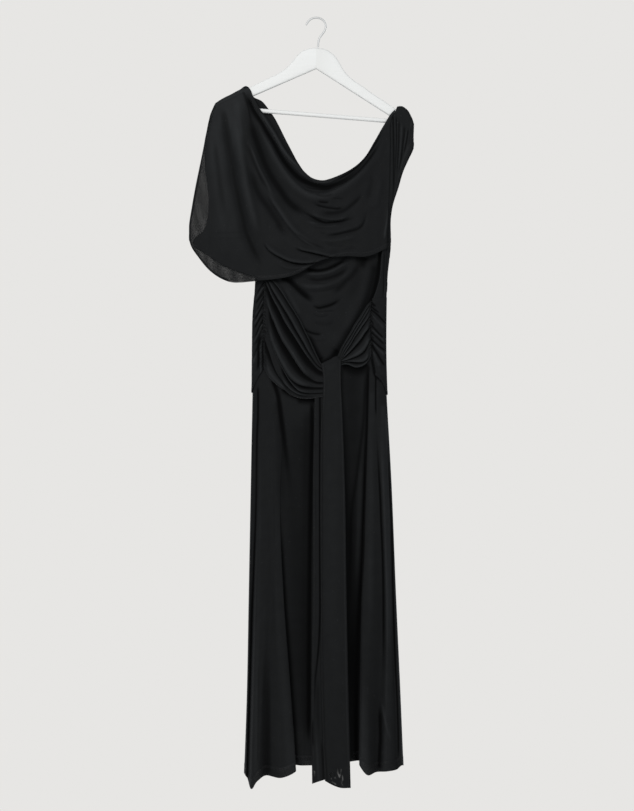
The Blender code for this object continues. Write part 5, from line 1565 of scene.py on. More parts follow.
def tube(name: str, path: Array, radii: Array, sides: int) -> bpy.types.Object:
    """Makes a closed round rod along a path in the X-Z plane.

    Args:
        name: Its name.
        path: Points of its middle line, as x, y, z.
        radii: Its radius at each point.
        sides: Corners round it.

    Returns:
        The object.
    """
    run = np.gradient(path, axis=0)
    run /= np.linalg.norm(run, axis=1)[:, None]
    across = np.tile([0.0, 1.0, 0.0], (len(path), 1))
    up = np.cross(run, across)
    angle = np.linspace(0, 2 * np.pi, sides, endpoint=False)
    ring = across[:, None] * np.cos(angle)[None, :, None] + up[:, None] * np.sin(angle)[None, :, None]
    points = (path[:, None] + ring * radii[:, None, None]).reshape(-1, 3)
    points = np.concatenate([points, path[:1], path[-1:]])
    length = travelled(path) * MM
    uv = np.stack([np.repeat(length, sides), np.tile(angle / (2 * np.pi) * 0.02, len(path))], -1)
    uv = np.concatenate([uv, [[length[0], 0.0], [length[-1], 0.0]]])
    return add_mesh(name, points, rod_faces(len(path), sides), uv)


# ---------------------------------------------------------------- the sheets of cloth
@dataclass
class Sheet:
    """A piece of cloth: a grid of points with a thin wall."""

    name: str = "sheet"
    node: str = "sheet"
    columns: int = 100
    rows: int = 100
    flat: tuple[float, float] = (0.5, 0.5)
    area: float = 0.2
    held: Held = Held.HUNG
    rests_on: tuple[str, ...] = ("hanger_body",)
    slot: Slot = Slot.MESH
    back: bool = False
    hems: tuple[str, ...] = ()  # which of top, bottom, left and right are turned over and stitched
    seams: tuple[str, ...] = ()  # which are only stitched to another piece
    hem_width: float = 9.0
    weave: Weave = Weave.SLEEVE
    edge: float = 0.0  # slides fade over this distance from the edges

    HOLLOWS = ((7.0, 0.11), (34.0, 0.022))  # reach of a hollow, and its painted shade for each millimetre of depth; a crest gets a painted highlight
    HOLLOW_LIMITS = (-0.4, 0.5)
    HEM_HIGHLIGHT_AND_SHADE = ((-0.28, 0.0, 1.5), (0.22, 2.6, 1.3))  # a painted highlight on the hem's line and painted shade beside it: shade, distance inside the hem's line, and width
    STITCH_LINES = (3.5, 1.0)  # distance of each from the hem's inner edge
    SEAM_LINE = 2.0  # distance of a seam's stitches from the edge
    STITCH_SPAN, STITCH_POINTS = (0.004, 0.996), 400  # share of the edge that they cover, and its points
    LIFT = 0.12  # how far stitches stand out of the cloth
    HEM_BLEND = 1.5  # the wall thickens over this distance on each side of the hem's line
    LEVELS = (0.25, 0.5, 0.75, 1.0)  # and in these steps

    def lay(self, u: Array, v: Array) -> Laid:
        """Places the sheet.

        Args:
            u: Share across, from left to right.
            v: Share down.

        Returns:
            Its points and shade.
        """
        raise NotImplementedError

    def sheer(self, laid: Laid) -> Array:
        """How sheer the cloth is at each point, 0 to 1."""
        return np.zeros(laid.x.shape)

    def lengths(self, laid: Laid) -> tuple[float, float]:
        """Measures the middle row and column.

        Args:
            laid: The sheet's points.

        Returns:
            The lengths in millimetres.
        """
        points = np.stack(laid[:3], -1)
        row, column = points[points.shape[0] // 2], points[:, points.shape[1] // 2]
        return tuple(float(np.linalg.norm(np.diff(p, axis=0), axis=1).sum()) for p in (row, column))

    def spread(self) -> tuple[Array, Array]:
        """Shares of the columns and rows."""
        return np.linspace(0, 1, self.columns + 1), np.linspace(0, 1, self.rows + 1)

    def build(self, finishes: Finishes) -> bpy.types.Object:
        """Makes the sheet.

        Args:
            finishes: The finishes.

        Returns:
            The object.
        """
        us, vs = self.spread()
        u, v = np.meshgrid(us, vs)
        laid = self.lay(u, v)
        wide, long = self.lengths(laid)
        n, m = len(us), len(vs)
        j, i = np.meshgrid(np.arange(m - 1), np.arange(n - 1), indexing="ij")
        quad = [j * n + i, (j + 1) * n + i, (j + 1) * n + i + 1, j * n + i + 1]
        faces = np.stack(quad[::-1] if self.back else quad, -1).reshape(-1, 4)
        uv = np.stack([u * wide * MM, (1 - v) * long * MM], -1).reshape(-1, 2)
        made = add_mesh(self.name, np.stack(laid[:3], -1).reshape(-1, 3), faces, uv)
        # painted shade and painted highlights for the crease_shade group
        shade = made.data.attributes.new("shade", "FLOAT", "POINT")
        shade.data.foreach_set("value", self.hollows(laid, u, v, wide, long).astype(np.float32).ravel())
        self.dress(made, laid, finishes, faces)
        self.thicken(made, u, v, wide, long)
        return made

    def hollows(self, laid: Laid, u: Array, v: Array, wide: float, long: float) -> Array:
        """Adds painted shade in hollows and painted highlights on crests, and both along stitched hems.

        Args:
            laid: The sheet's points.
            u: Share across.
            v: Share down.
            wide: The sheet's width.
            long: Its length.

        Returns:
            The painted shade.
        """
        out = np.abs(laid.y)
        total = np.zeros(out.shape)
        for reach, strength in self.HOLLOWS:
            smooth = out
            for axis, size in ((0, long), (1, wide)):
                half = max(1, round(reach * out.shape[axis] / size))
                pad = [(half + 1, half) if a == axis else (0, 0) for a in (0, 1)]
                run = np.cumsum(np.pad(smooth, pad, mode="edge"), axis=axis)
                span = 2 * half + 1
                ahead = np.take(run, range(span, run.shape[axis]), axis)
                smooth = (ahead - np.take(run, range(run.shape[axis] - span), axis)) / span
            total -= strength * (out - smooth)
        total = np.clip(total, *self.HOLLOW_LIMITS)
        near = self.from_edges(u, v, wide, long)
        for edge in self.hems:
            for strength, inside, width in self.HEM_HIGHLIGHT_AND_SHADE:
                total = total + strength * np.exp(-(((near[edge] - self.hem_width - inside) / width) ** 2))
        darker = 1 - (1 - laid.shade) * (1 - total)
        return np.where(total > 0, darker, laid.shade + total * (1 - np.clip(laid.shade, 0, 1)))

    def from_edges(self, u: Array, v: Array, wide: float, long: float) -> dict[str, Array]:
        """Distance of each point from each edge, in millimetres."""
        return {"left": u * wide, "right": (1 - u) * wide, "top": v * long, "bottom": (1 - v) * long}

    def dress(self, made: bpy.types.Object, laid: Laid, finishes: Finishes, faces: Array) -> None:
        """Gives the sheet its solid finish, and its sheer one where nothing backs it.

        Args:
            made: The sheet's object.
            laid: Its points.
            finishes: The finishes.
            faces: Its faces as corner numbers.
        """
        made.data.materials.append(finishes.lining if self.slot is Slot.LINING else finishes.jersey)
        thin = self.sheer(laid).astype(np.float32).ravel()
        if thin.any():
            made.data.attributes.new("thin", "FLOAT", "POINT").data.foreach_set("value", thin)
            made.data.materials.append(finishes.sheer[self.weave])
            made.data.polygons.foreach_set("material_index", (thin[faces] > 0).any(axis=1).astype(np.int32))

    def thicken(self, made: bpy.types.Object, u: Array, v: Array, wide: float, long: float) -> None:
        """Gives the sheet its wall, thicker where an edge is turned over.

        Args:
            made: The sheet's object.
            u: Share across.
            v: Share down.
            wide: The sheet's width.
            long: Its length.
        """
        near = self.from_edges(u, v, wide, long)
        group = made.vertex_groups.new(name="turned_edge")
        turned = np.zeros(u.shape)
        for edge in self.hems:
            first, last = self.hem_width - self.HEM_BLEND, self.hem_width + self.HEM_BLEND
            turned = np.maximum(turned, 1 - ease(near[edge], first, last))
        turned = turned.ravel()
        half = self.LEVELS[0] / 2
        for level in self.LEVELS:
            members = np.flatnonzero((turned > level - half) & (turned <= level + half))
            if len(members):
                group.add(members.tolist(), level, "REPLACE")
        solid = made.modifiers.new("wall", "SOLIDIFY")
        solid.thickness = HEM_WALL * MM
        solid.offset = 0.0
        solid.use_quality_normals = True
        solid.vertex_group = group.name
        solid.thickness_vertex_group = WALL / HEM_WALL

    def stitch_paths(self) -> list[Array]:
        """Lines of stitches along the turned edges, two a hem, and along the seams.

        Returns:
            Each line's points, just outside the cloth.
        """
        paths = []
        us, vs = self.spread()
        probe = self.lay(*np.meshgrid(us[::4], vs[::4]))
        wide, long = self.lengths(probe)
        wanted = [(edge, self.hem_width - inside) for edge in self.hems for inside in self.STITCH_LINES]
        wanted += [(edge, self.SEAM_LINE) for edge in self.seams]
        for edge, inset in wanted:
            along = np.linspace(*self.STITCH_SPAN, self.STITCH_POINTS)
            share = inset / (long if edge in ("top", "bottom") else wide)
            across = np.full(along.shape, share if edge in ("top", "left") else 1 - share)
            u, v = (along, across) if edge in ("top", "bottom") else (across, along)
            step = 1e-3
            here = np.stack(self.lay(u, v)[:3], -1)
            du = np.stack(self.lay(np.clip(u + step, 0, 1), v)[:3], -1) - here
            dv = np.stack(self.lay(u, np.clip(v + step, 0, 1))[:3], -1) - here
            normal = np.cross(dv, du) * (-1 if self.back else 1)
            normal /= np.maximum(np.linalg.norm(normal, axis=1), 1e-9)[:, None]
            lift = (HEM_WALL if edge in self.hems else WALL) / 2 + self.LIFT
            paths.append(here + normal * lift)
        return paths

    def slides(self, u: Array, v: Array, bumps: Relief, wide: float, long: float) -> tuple[Array, Array]:
        """Holds back the creases' slides at the sheet's edges.

        Args:
            u: Share across.
            v: Share down.
            bumps: What the creases do.
            wide: The sheet's width.
            long: Its length.

        Returns:
            The slides in x and z.
        """
        hold = ease(np.minimum(u, 1 - u) * wide, 0, self.edge)
        hold = hold * ease(np.minimum(v, 1 - v) * long, 0, self.edge)
        return bumps.slide_x * hold, bumps.slide_z * hold


@dataclass
class OverlayFront(Sheet):
    """The draped front of the overlay: cowl neck, left drape and front hem."""

    edge: float = 8.0

    def lay(self, u: Array, v: Array) -> Laid:
        """Places the sheet.

        Args:
            u: Share across, from left to right.
            v: Share down.

        Returns:
            Its points and shade.
        """
        x, z = patch(LEFT_SHOULDER + FRONT_NECK, FRONT_HEM, ARM_SEAM, FRONT_SIDE)(u, v)
        bumps = relief(x, z, OVERLAY_CREASES)
        dx, dz = self.slides(u, v, bumps, 430, 360)
        return Laid(x + dx, -overlay_depth(x, z, bumps.rise), z + dz, bumps.shade)

    def sheer(self, laid: Laid) -> Array:
        """The strip at the left edge and the band above the hem, where no lining is behind."""
        return sleeve_sheer(laid.x, laid.z)


@dataclass
class OverlayBack(Sheet):
    """The back of the overlay."""

    edge: float = 8.0

    def lay(self, u: Array, v: Array) -> Laid:
        """Places the sheet.

        Args:
            u: Share across, from left to right.
            v: Share down.

        Returns:
            Its points and shade.
        """
        x, z = patch(LEFT_SHOULDER + BACK_NECK + CAP_TOP, BACK_HEM, ARM_SEAM, CAP_SIDE + [(157, -517)])(u, v)
        bumps = relief(x, z, OVERLAY_BACK_CREASES)
        left, left_gap = closing(x, z, LEFT_CLOSING)
        right, right_gap = closing(x, z, RIGHT_CLOSING)
        gap = np.where(left < right, left_gap, right_gap)
        depth = gap + (back_field(x, z) + bumps.rise - gap) * left * right
        return Laid(x, np.maximum(depth, gap), z, bumps.shade)

    def sheer(self, laid: Laid) -> Array:
        """As in front."""
        return sleeve_sheer(laid.x, laid.z)


@dataclass
class OverlayLining(Sheet):
    """The solid layer behind the overlay's front."""

    def lay(self, u: Array, v: Array) -> Laid:
        """Places the sheet.

        Args:
            u: Share across, from left to right.
            v: Share down.

        Returns:
            Its points and shade.
        """
        x, z = patch(LINING_TOP, LINING_HEM, LINING_SIDE, LINING_RIGHT)(u, v)
        # painted highlight along the lining's left and lower edges, which lie in the overlay's shadow
        return Laid(x, -lining_depth(x, z), z, -1.0 + ease(lined(x, z), 2, 7))


@dataclass
class BodiceFront(Sheet):
    """The fitted front under the overlay, which shows between the overlay's hem and the swags."""

    edge: float = 8.0
    hidden_share: float = 0.46  # under the overlay, where few rows will do
    hidden_rows: int = 24

    WAIST = (-136, 144.5)  # its ends
    NECK_TO_BODY = (14, 70)  # distances from the neck between which it comes to lie on the body
    COVERED_TO = (480, 520)  # below the hook, the overlay's hem
    BEHIND_LINING = 0.2

    def spread(self) -> tuple[Array, Array]:
        """Spaces out the columns and rows, wider apart under the overlay.

        Returns:
            The share of each.
        """
        upper = np.linspace(0, self.hidden_share, self.hidden_rows + 1)
        lower = np.linspace(self.hidden_share, 1, self.rows - self.hidden_rows + 1)[1:]
        return np.linspace(0, 1, self.columns + 1), np.concatenate([upper, lower])

    def lay(self, u: Array, v: Array) -> Laid:
        """Places the sheet.

        Args:
            u: Share across, from left to right.
            v: Share down.

        Returns:
            Its points and shade.
        """
        bottom = [(x, z - WAIST_LAP) for x, z in waist(*self.WAIST)]
        x, z = patch(BODICE_FRONT_TOP, bottom, BODICE_FRONT_LEFT, BODICE_FRONT_RIGHT)(u, v)
        neck = beside(x, z, np.array(FRONT_NECK, float)).distance
        lining = lining_depth(x, z)
        bumps = relief(x, z, BODICE_CREASES)
        share = ease(neck, *self.NECK_TO_BODY)
        behind = lining - LINING_BEHIND - self.BEHIND_LINING
        depth = behind * (1 - share) + (body_depth(x, z) + bumps.rise) * share
        covered = 1 - ease(-z, *self.COVERED_TO)
        depth = np.where(covered > 0, np.minimum(depth, lining - LAYER), depth)
        return Laid(x, -np.maximum(depth, HALF_GAP), z, bumps.shade)


@dataclass
class BodiceBack(Sheet):
    """The fitted back."""

    WAIST = (-136, 144.5)  # its ends
    TOP_SHARE = 0.2  # of its length, where it comes to lie on the body
    COVERED_TO = -515  # z of the overlay's hem

    def lay(self, u: Array, v: Array) -> Laid:
        """Places the sheet.

        Args:
            u: Share across, from left to right.
            v: Share down.

        Returns:
            Its points and shade.
        """
        bottom = [(x, z - WAIST_LAP) for x, z in waist(*self.WAIST)]
        x, z = patch(BODICE_BACK_TOP, bottom, BODICE_BACK_LEFT, BODICE_BACK_RIGHT)(u, v)
        share = ease(v, 0.0, self.TOP_SHARE)
        bumps = relief(x, z, BODICE_BACK_CREASES)
        over = back_field(x, z) + relief(x, z, OVERLAY_BACK_CREASES).rise - LAYER
        fitted = body_depth(x, z, behind=True) + bumps.rise
        depth = (back_field(x, z) - LINING_BEHIND) * (1 - share) + fitted * share
        depth = np.where(z > self.COVERED_TO, np.minimum(depth, over), depth)
        return Laid(x, np.maximum(depth, HALF_GAP), z, bumps.shade)


@dataclass
class RightPanel(Sheet):
    """The gathered right shoulder, which runs on as the strip down the right side."""

    PROUD = 1.4  # how far the shoulder stands out
    TUCKED = 1.6  # how far its inner edge goes under the overlay, left of
    TUCKED_X = 160
    TUCK_ENDS = (400, 470)  # heights below the hook
    LOWERED = 1.1  # how much nearer the body it lies from here to here
    LOWERED_AT = (580, 600)
    SHOULDER_TO_BODY = (430, 560)

    def lay(self, u: Array, v: Array) -> Laid:
        """Places the sheet.

        Args:
            u: Share across, from left to right.
            v: Share down.

        Returns:
            Its points and shade.
        """
        x, z = patch(CAP_TOP, [PANEL_INNER[-1], PANEL_OUTER[-1]], PANEL_INNER, PANEL_OUTER)(u, v)
        open_share, gap = closing(x, z, RIGHT_CLOSING)
        bumps = relief(x, z, PANEL_CREASES)
        under = np.where(x < self.TUCKED_X, self.TUCKED * (1 - ease(-z, *self.TUCK_ENDS)), 0.0)
        upper = front_field(x, z) - LINING_BEHIND - under + bumps.rise + self.PROUD
        upper = gap + (upper - gap) * open_share
        out = WRAP_OUT - self.LOWERED * ease(-z, *self.LOWERED_AT)
        lower = body_depth(x, z, out) + bumps.rise * open_share
        share = ease(-z, *self.SHOULDER_TO_BODY)
        return Laid(x, -np.maximum(upper * (1 - share) + lower * share, gap), z, bumps.shade)


@dataclass
class HipWrap(Sheet):
    """Round the hips from the left ruched seam behind to the right one."""

    NEAR_SEAM = 0.075  # share of the width in which the columns are closer together
    NEAR_COLUMNS = 0.23  # share of the columns there
    SEAM_IN = 0.5  # how far it goes under the seam's edge
    PUCKER_REACH = 8.0
    RIPPLE_REACH = 0.09  # share of the width over which the ruching dies away
    RIPPLES = ((60, 27, 1.0), (150, 11.5, 0.5))  # slant, distance apart and share of each set of ripples
    RIPPLE_HIGH = 1.2
    IN_FRONT = (-0.1, 0.25)  # sines of the angle between which front turns to back
    DEEPEST, SHALLOWER, SHALLOWER_AT = -3.2, 1.3, (722, 742)  # how deep a valley may be, and less below

    def spread(self) -> tuple[Array, Array]:
        """Spaces out the columns and rows, closer together near the seams.

        Returns:
            The share of each.
        """
        near, far = self.NEAR_SEAM, 1 - self.NEAR_SEAM
        count = int(self.columns * self.NEAR_COLUMNS)
        between = np.linspace(near, far, self.columns - 2 * count + 3)[1:-1]
        us = [np.linspace(0, near, count), between, np.linspace(far, 1, count)]
        return np.concatenate(us), np.linspace(0, 1, self.rows + 1)

    def lay(self, u: Array, v: Array) -> Laid:
        """Places the sheet.

        Args:
            u: Share across, from left to right.
            v: Share down.

        Returns:
            Its points and shade.
        """
        top = np.interp(u, *np.array(WRAP_TOP, float).T)
        bottom = np.interp(u, *np.array(WRAP_BOTTOM, float).T)
        z = top + (bottom - top) * v
        middle, half, in_front, at_back = body_section(z)
        half = half + WRAP_OUT

        def turn(x: Array) -> Array:
            """Angle round the hips at x."""
            return np.arccos(np.clip(np.abs(x - middle) / half, 0, 1) ** (BODY_POWER / 2))

        start = np.pi - turn(by_height(LEFT_RUCHE).at(z)[..., 0] - self.SEAM_IN)
        end = 2 * np.pi + turn(by_height(RIGHT_RUCHE).at(z)[..., 0] + self.SEAM_IN)
        angle = start + (end - start) * u
        c, s = np.cos(angle), np.sin(angle)
        x = middle + half * np.sign(c) * np.abs(c) ** (2 / BODY_POWER)
        depth = np.where(s > 0, in_front, at_back) + WRAP_OUT + HALF_GAP
        pleats = puckers(LEFT_RUCHE, -1.0, self.PUCKER_REACH, 3)
        pleats += puckers(RIGHT_RUCHE, 1.0, self.PUCKER_REACH, 4)
        bumps = relief(x, z, WRAP_CREASES + pleats)
        seam = np.minimum(u, 1 - u)
        near = np.exp(-((seam / self.RIPPLE_REACH) ** 2)) * ease(seam, 0, 0.02)
        waves = [part * np.sin(2 * np.pi * (z - slant * seam) / apart) for slant, apart, part in self.RIPPLES]
        ripple = self.RIPPLE_HIGH * near * sum(waves)
        front = ease(s, *self.IN_FRONT)
        behind = relief(x, z, WRAP_BACK_CREASES)
        rise = bumps.rise * front + ripple * (1 - 0.4 * front) + behind.rise * (1 - front)
        out = np.maximum(rise, self.DEEPEST + self.SHALLOWER * ease(-z, *self.SHALLOWER_AT))
        depth = depth + out
        bulge = np.sign(c) * np.abs(c) ** 3 * 0.6 * out * (1 - front * 0.5)
        shade = bumps.shade * front + behind.shade * (1 - front)
        return Laid(x + bulge, -depth * np.sign(s) * np.abs(s) ** (2 / BODY_POWER), z, shade)


@dataclass
class Swag(Sheet):
    """A fan of folds from a ruched seam (u = 0) to the knot (u = 1); v crosses the folds."""

    valleys: list[Valley] = field(default_factory=list)
    pleats: list[Crease] = field(default_factory=list)
    reach: float = 0.88
    rows_each: int = 20

    COLUMN_POWER = 1.15
    FOLD_IN, FOLD_OUT = (-0.02, 0.12), (-0.16, 0.04)  # a fold rises and dies away here, past its ends
    VALLEY_IN, VALLEY_OUT = (-0.04, 0.08), (-0.06, 0.02)  # and a valley's painted shade here
    FULLNESS = (0.75, 0.6)  # most height of a fold: share of its width, and more
    ARCH = (2.1, 0.75)  # powers that give a fold its round back and steep lower side
    LEAN, LEAN_MOST = 0.16, 1.12  # how far its back hangs over the next valley, in shares of its width
    CREST_HIGHLIGHT = (0.42, 0.66, 0.17)  # painted highlight on its crest: how much paler, where it is, and its width
    UNDERSIDE = (0.85, 0.965)  # share of the next valley's painted shade at its lower edge, from here
    HALF_SHADE = (0.14, 0.45, 0.85)  # painted half shade beside a deep valley: how dark, its width, and where it ends at most
    DEEP = 0.8  # valleys darker than this have it
    BAND = (1.25, 3.5)  # a valley's painted shade: share of its cover, and how abruptly it ends
    EDGE = 0.03  # share of the length over which the pleats fade at the first and last valley

    def spread(self) -> tuple[Array, Array]:
        """Spaces out the columns, closer together at the seam, and the rows."""
        us = np.linspace(0, 1, self.columns + 1) ** self.COLUMN_POWER
        return us, np.linspace(0, 1, (len(self.valleys) - 1) * self.rows_each + 1)

    def lay(self, u: Array, v: Array) -> Laid:
        """Places the sheet.

        Args:
            u: Share across, from left to right.
            v: Share down.

        Returns:
            Its points and shade.
        """
        paths = [line(valley.path) for valley in self.valleys]
        facts = np.array([row[1:] for row in self.valleys], float)
        base = Smooth(*zip(*SWAG_BASE))
        place = np.clip(v * (len(paths) - 1), 0, len(paths) - 1)
        number = np.clip(np.floor(place).astype(int), 0, len(paths) - 2)
        t = place - number
        points = np.stack([path.at(u) for path in paths])
        upper = np.take_along_axis(points, number[None, ..., None], 0)[0]
        lower = np.take_along_axis(points, number[None, ..., None] + 1, 0)[0]
        height, start, end, dark, band = (facts[number, i] for i in range(5))
        fade = self.between(u, start, end * self.reach, self.FOLD_IN, self.FOLD_OUT)
        gap = np.linalg.norm(lower - upper, axis=-1)
        high = np.minimum(height, self.FULLNESS[0] * gap + self.FULLNESS[1]) * fade
        arch = np.sin(np.pi * t ** self.ARCH[0]) ** self.ARCH[1]
        lean = np.clip(t + self.LEAN * arch * fade, 0, self.LEAN_MOST)
        xz = upper * (1 - lean[..., None]) + lower * lean[..., None]
        x, z = xz[..., 0], xz[..., 1]
        bumps = relief(x, z, self.pleats)
        edge_hold = ease(np.minimum(v, 1 - v), 0, self.EDGE)
        out = body_depth(x, z) + base.at(u) + high * arch + bumps.rise * edge_hold
        # painted shade in the valley at the top of each fold, under the next fold's lower edge and beside
        # deep valleys, and a painted highlight on the crest
        falls = self.between(u, start, end, self.VALLEY_IN, self.VALLEY_OUT)
        wider, power = self.BAND
        shade = dark * falls * np.exp(-((t / (band * wider)) ** power))
        next_start, next_end, next_dark = (facts[number + 1, i] for i in (1, 2, 3))
        next_dark = next_dark * self.between(u, next_start, next_end, self.VALLEY_IN, self.VALLEY_OUT)
        under, lowest = self.UNDERSIDE
        shade = 1 - (1 - shade) * (1 - next_dark * under * ease(t, lowest, 1.0))
        tone, width, most = self.HALF_SHADE
        painted_half_shade = tone * (1 - ease(t, band, np.minimum(band + width, most))) * falls * (dark > self.DEEP)
        shade = 1 - (1 - shade) * (1 - painted_half_shade)
        tone, place, width = self.CREST_HIGHLIGHT
        crest = tone * fade * np.exp(-(((t - place) / width) ** 2))
        return Laid(x, -out, z, 1 - (1 - shade) * (1 - bumps.shade) - crest * (1 - shade))

    @staticmethod
    def between(
        u: Array, start: Array, end: Array, in_span: tuple[float, float], out_span: tuple[float, float],
    ) -> Array:
        """Rises after a start and falls towards an end.

        Args:
            u: Share of the way to the knot.
            start: Where it starts.
            end: Where it ends.
            in_span: Where it rises, measured from the start.
            out_span: Where it falls, measured from the end.

        Returns:
            0 to 1.
        """
        rising = ease(u, start + in_span[0], start + in_span[1])
        return rising * (1 - ease(u, end + out_span[0], end + out_span[1]))


@dataclass
class Skirt(Sheet):
    """A skirt panel from a table of folds, lying on the body at the waist."""

    table: list[tuple[float, ...]] = field(default_factory=list)
    creases: list[Crease] = field(default_factory=list)
    hem_share: float = 0.036  # of the length, where the rows are closer together
    hem_rows: int = 16
    sheer_rows: int = 11

    HIP_HEIGHTS = (-740, -850)
    HIP_SHARES = (0.4, 0.6)  # share of the way from hip to fold at the second height: across, and in depth
    HANGS_FROM = (815, 1000)  # below the hook, the skirt leaves the body from here to here
    CREASES_FROM = (760, 800)
    EDGE = 0.03  # share of the width over which creases fade at the side seams
    WANDER = 0.7  # slow unevenness of the folds
    # painted shade in the back's valleys: how dark, the depths and heights over which it fades, and the share
    # of the width at the sides
    BACK_SHADE, BACK_DEPTHS, BACK_HEIGHTS, BACK_EDGE = 0.45, (16, 30), (900, 1100), (0.02, 0.08)

    def spread(self) -> tuple[Array, Array]:
        """Spaces out the columns and rows, closer together at the hem.

        Returns:
            The share of each.
        """
        upper = np.linspace(0, 1 - self.hem_share, self.rows - self.hem_rows + 1)
        hem = np.linspace(upper[-1], 1, self.hem_rows + 1)[1:]
        return np.linspace(0, 1, self.columns + 1), np.concatenate([upper, hem])

    def lay(self, u: Array, v: Array) -> Laid:
        """Places the sheet.

        Args:
            u: Share across, from left to right.
            v: Share down.

        Returns:
            Its points and shade.
        """
        rows = np.array(self.table, float)
        place = np.arange(len(rows)) / (len(rows) - 1)
        hip, hem = Smooth(place, rows[:, 0]), Smooth(place, rows[:, 9])
        across = Smooth(place, rows[:, 1:9])
        waist_line = Smooth(*np.array(WAIST_ROWS, float).T)
        heights = self.HIP_HEIGHTS + SKIRT_HEIGHTS
        down = Smooth([-h for h in heights], np.eye(len(heights)))
        x_hip, columns = hip.at(u), across.at(u)
        top = waist_line.at(x_hip)
        z = top + (hem.at(u) - top) * v
        weights = down.at(-z)
        early = x_hip + self.HIP_SHARES[0] * (columns[..., 0] - x_hip)
        xs = np.stack([x_hip, early] + [columns[..., i] for i in range(4)], axis=-1)
        x = (weights * xs).sum(axis=-1)
        edge = rows[0, 5]
        upper = edge + self.HIP_SHARES[1] * (columns[..., 4] - edge)
        ys = np.stack([upper, upper] + [columns[..., 4 + i] for i in range(4)], axis=-1)
        hung = (weights * ys).sum(axis=-1)
        share = ease(-z, *self.HANGS_FROM)
        bumps = relief(x, z, self.creases)
        inside = ease(np.minimum(u, 1 - u), 0, self.EDGE)
        wander = self.WANDER * np.sin(u * 61 + z / 83) * np.sin(z / 131 + u * 17) * share
        depth = body_depth(x, z, SKIRT_OUT, self.back) * (1 - share) + hung * share
        depth = depth + (bumps.rise * ease(-z, *self.CREASES_FROM) + wander) * inside
        return Laid(x, depth if self.back else -depth, z, bumps.shade + self.depth_shade(u, depth, z))

    def depth_shade(self, u: Array, depth: Array, z: Array) -> Array:
        """Paints shade into the valleys between the hanging folds, behind.

        Args:
            u: Share across.
            depth: Depth of each point.
            z: Points up.

        Returns:
            The painted shade to add.
        """
        if not self.back:
            return np.zeros(u.shape)
        dark = self.BACK_SHADE * (1 - ease(depth, *self.BACK_DEPTHS)) * ease(-z, *self.BACK_HEIGHTS)
        return dark * ease(np.minimum(u, 1 - u), *self.BACK_EDGE)

    def sheer(self, laid: Laid) -> Array:
        """Finds the last of the hem, where one layer of mesh hangs free.

        Args:
            laid: The sheet's points.

        Returns:
            1 there and 0 elsewhere.
        """
        thin = np.zeros(laid.z.shape)
        thin[-self.sheer_rows:] = 1.0
        return thin


@dataclass
class Sash(Sheet):
    """A hanging end of the tie."""

    END = 0.94  # share of the length where the rows draw together
    END_ROWS = 36
    BOWS_FROM = (780, 950)  # below the hook, it bows out from here to here
    WAVE, WAVES_FROM = 0.8, (850, 1100)  # its slow waves, and where they begin
    HIGHEST = 1.2  # most height of a crease

    edges: tuple[Rows, ...] = ()  # top, hem, left, right
    depths: list[tuple[float, float]] = field(default_factory=list)
    creases: list[Crease] = field(default_factory=list)
    bow: float = 1.0
    thin_places: tuple[tuple[Rows, float], ...] = ()  # path and half width of each

    def spread(self) -> tuple[Array, Array]:
        """Spaces out the columns and rows, closer together at the end.

        Returns:
            The share of each.
        """
        upper = np.linspace(0, self.END, self.rows - self.END_ROWS + 1)
        end = np.linspace(self.END, 1, self.END_ROWS + 1)[1:]
        return np.linspace(0, 1, self.columns + 1), np.concatenate([upper, end])

    def lay(self, u: Array, v: Array) -> Laid:
        """Places the sheet.

        Args:
            u: Share across, from left to right.
            v: Share down.

        Returns:
            Its points and shade.
        """
        x, z = patch(*self.edges)(u, v)
        bumps = relief(x, z, self.creases)
        bow = self.bow * np.sin(np.pi * u) * ease(-z, *self.BOWS_FROM)
        depth = by_height(self.depths).at(z)[..., 0] + bow
        wave = self.WAVE * np.sin(z / 61 + 3 * u) * np.sin(z / 173) * ease(-z, *self.WAVES_FROM)
        rise = np.minimum(bumps.rise, self.HIGHEST)
        return Laid(x, -(depth + rise + wave * self.bow / 2), z, bumps.shade)

    def sheer(self, laid: Laid) -> Array:
        """Finds the places near the end where the mesh is a single layer and lets light through.

        Args:
            laid: The sheet's points.

        Returns:
            How sheer each is, 0 to 1.
        """
        thin = np.zeros(laid.x.shape)
        for path, half in self.thin_places:
            distance = beside(laid.x, laid.z, np.array(path, float)).distance
            thin = np.maximum(thin, 1 - ease(distance, 0.3 * half, half))
        return thin


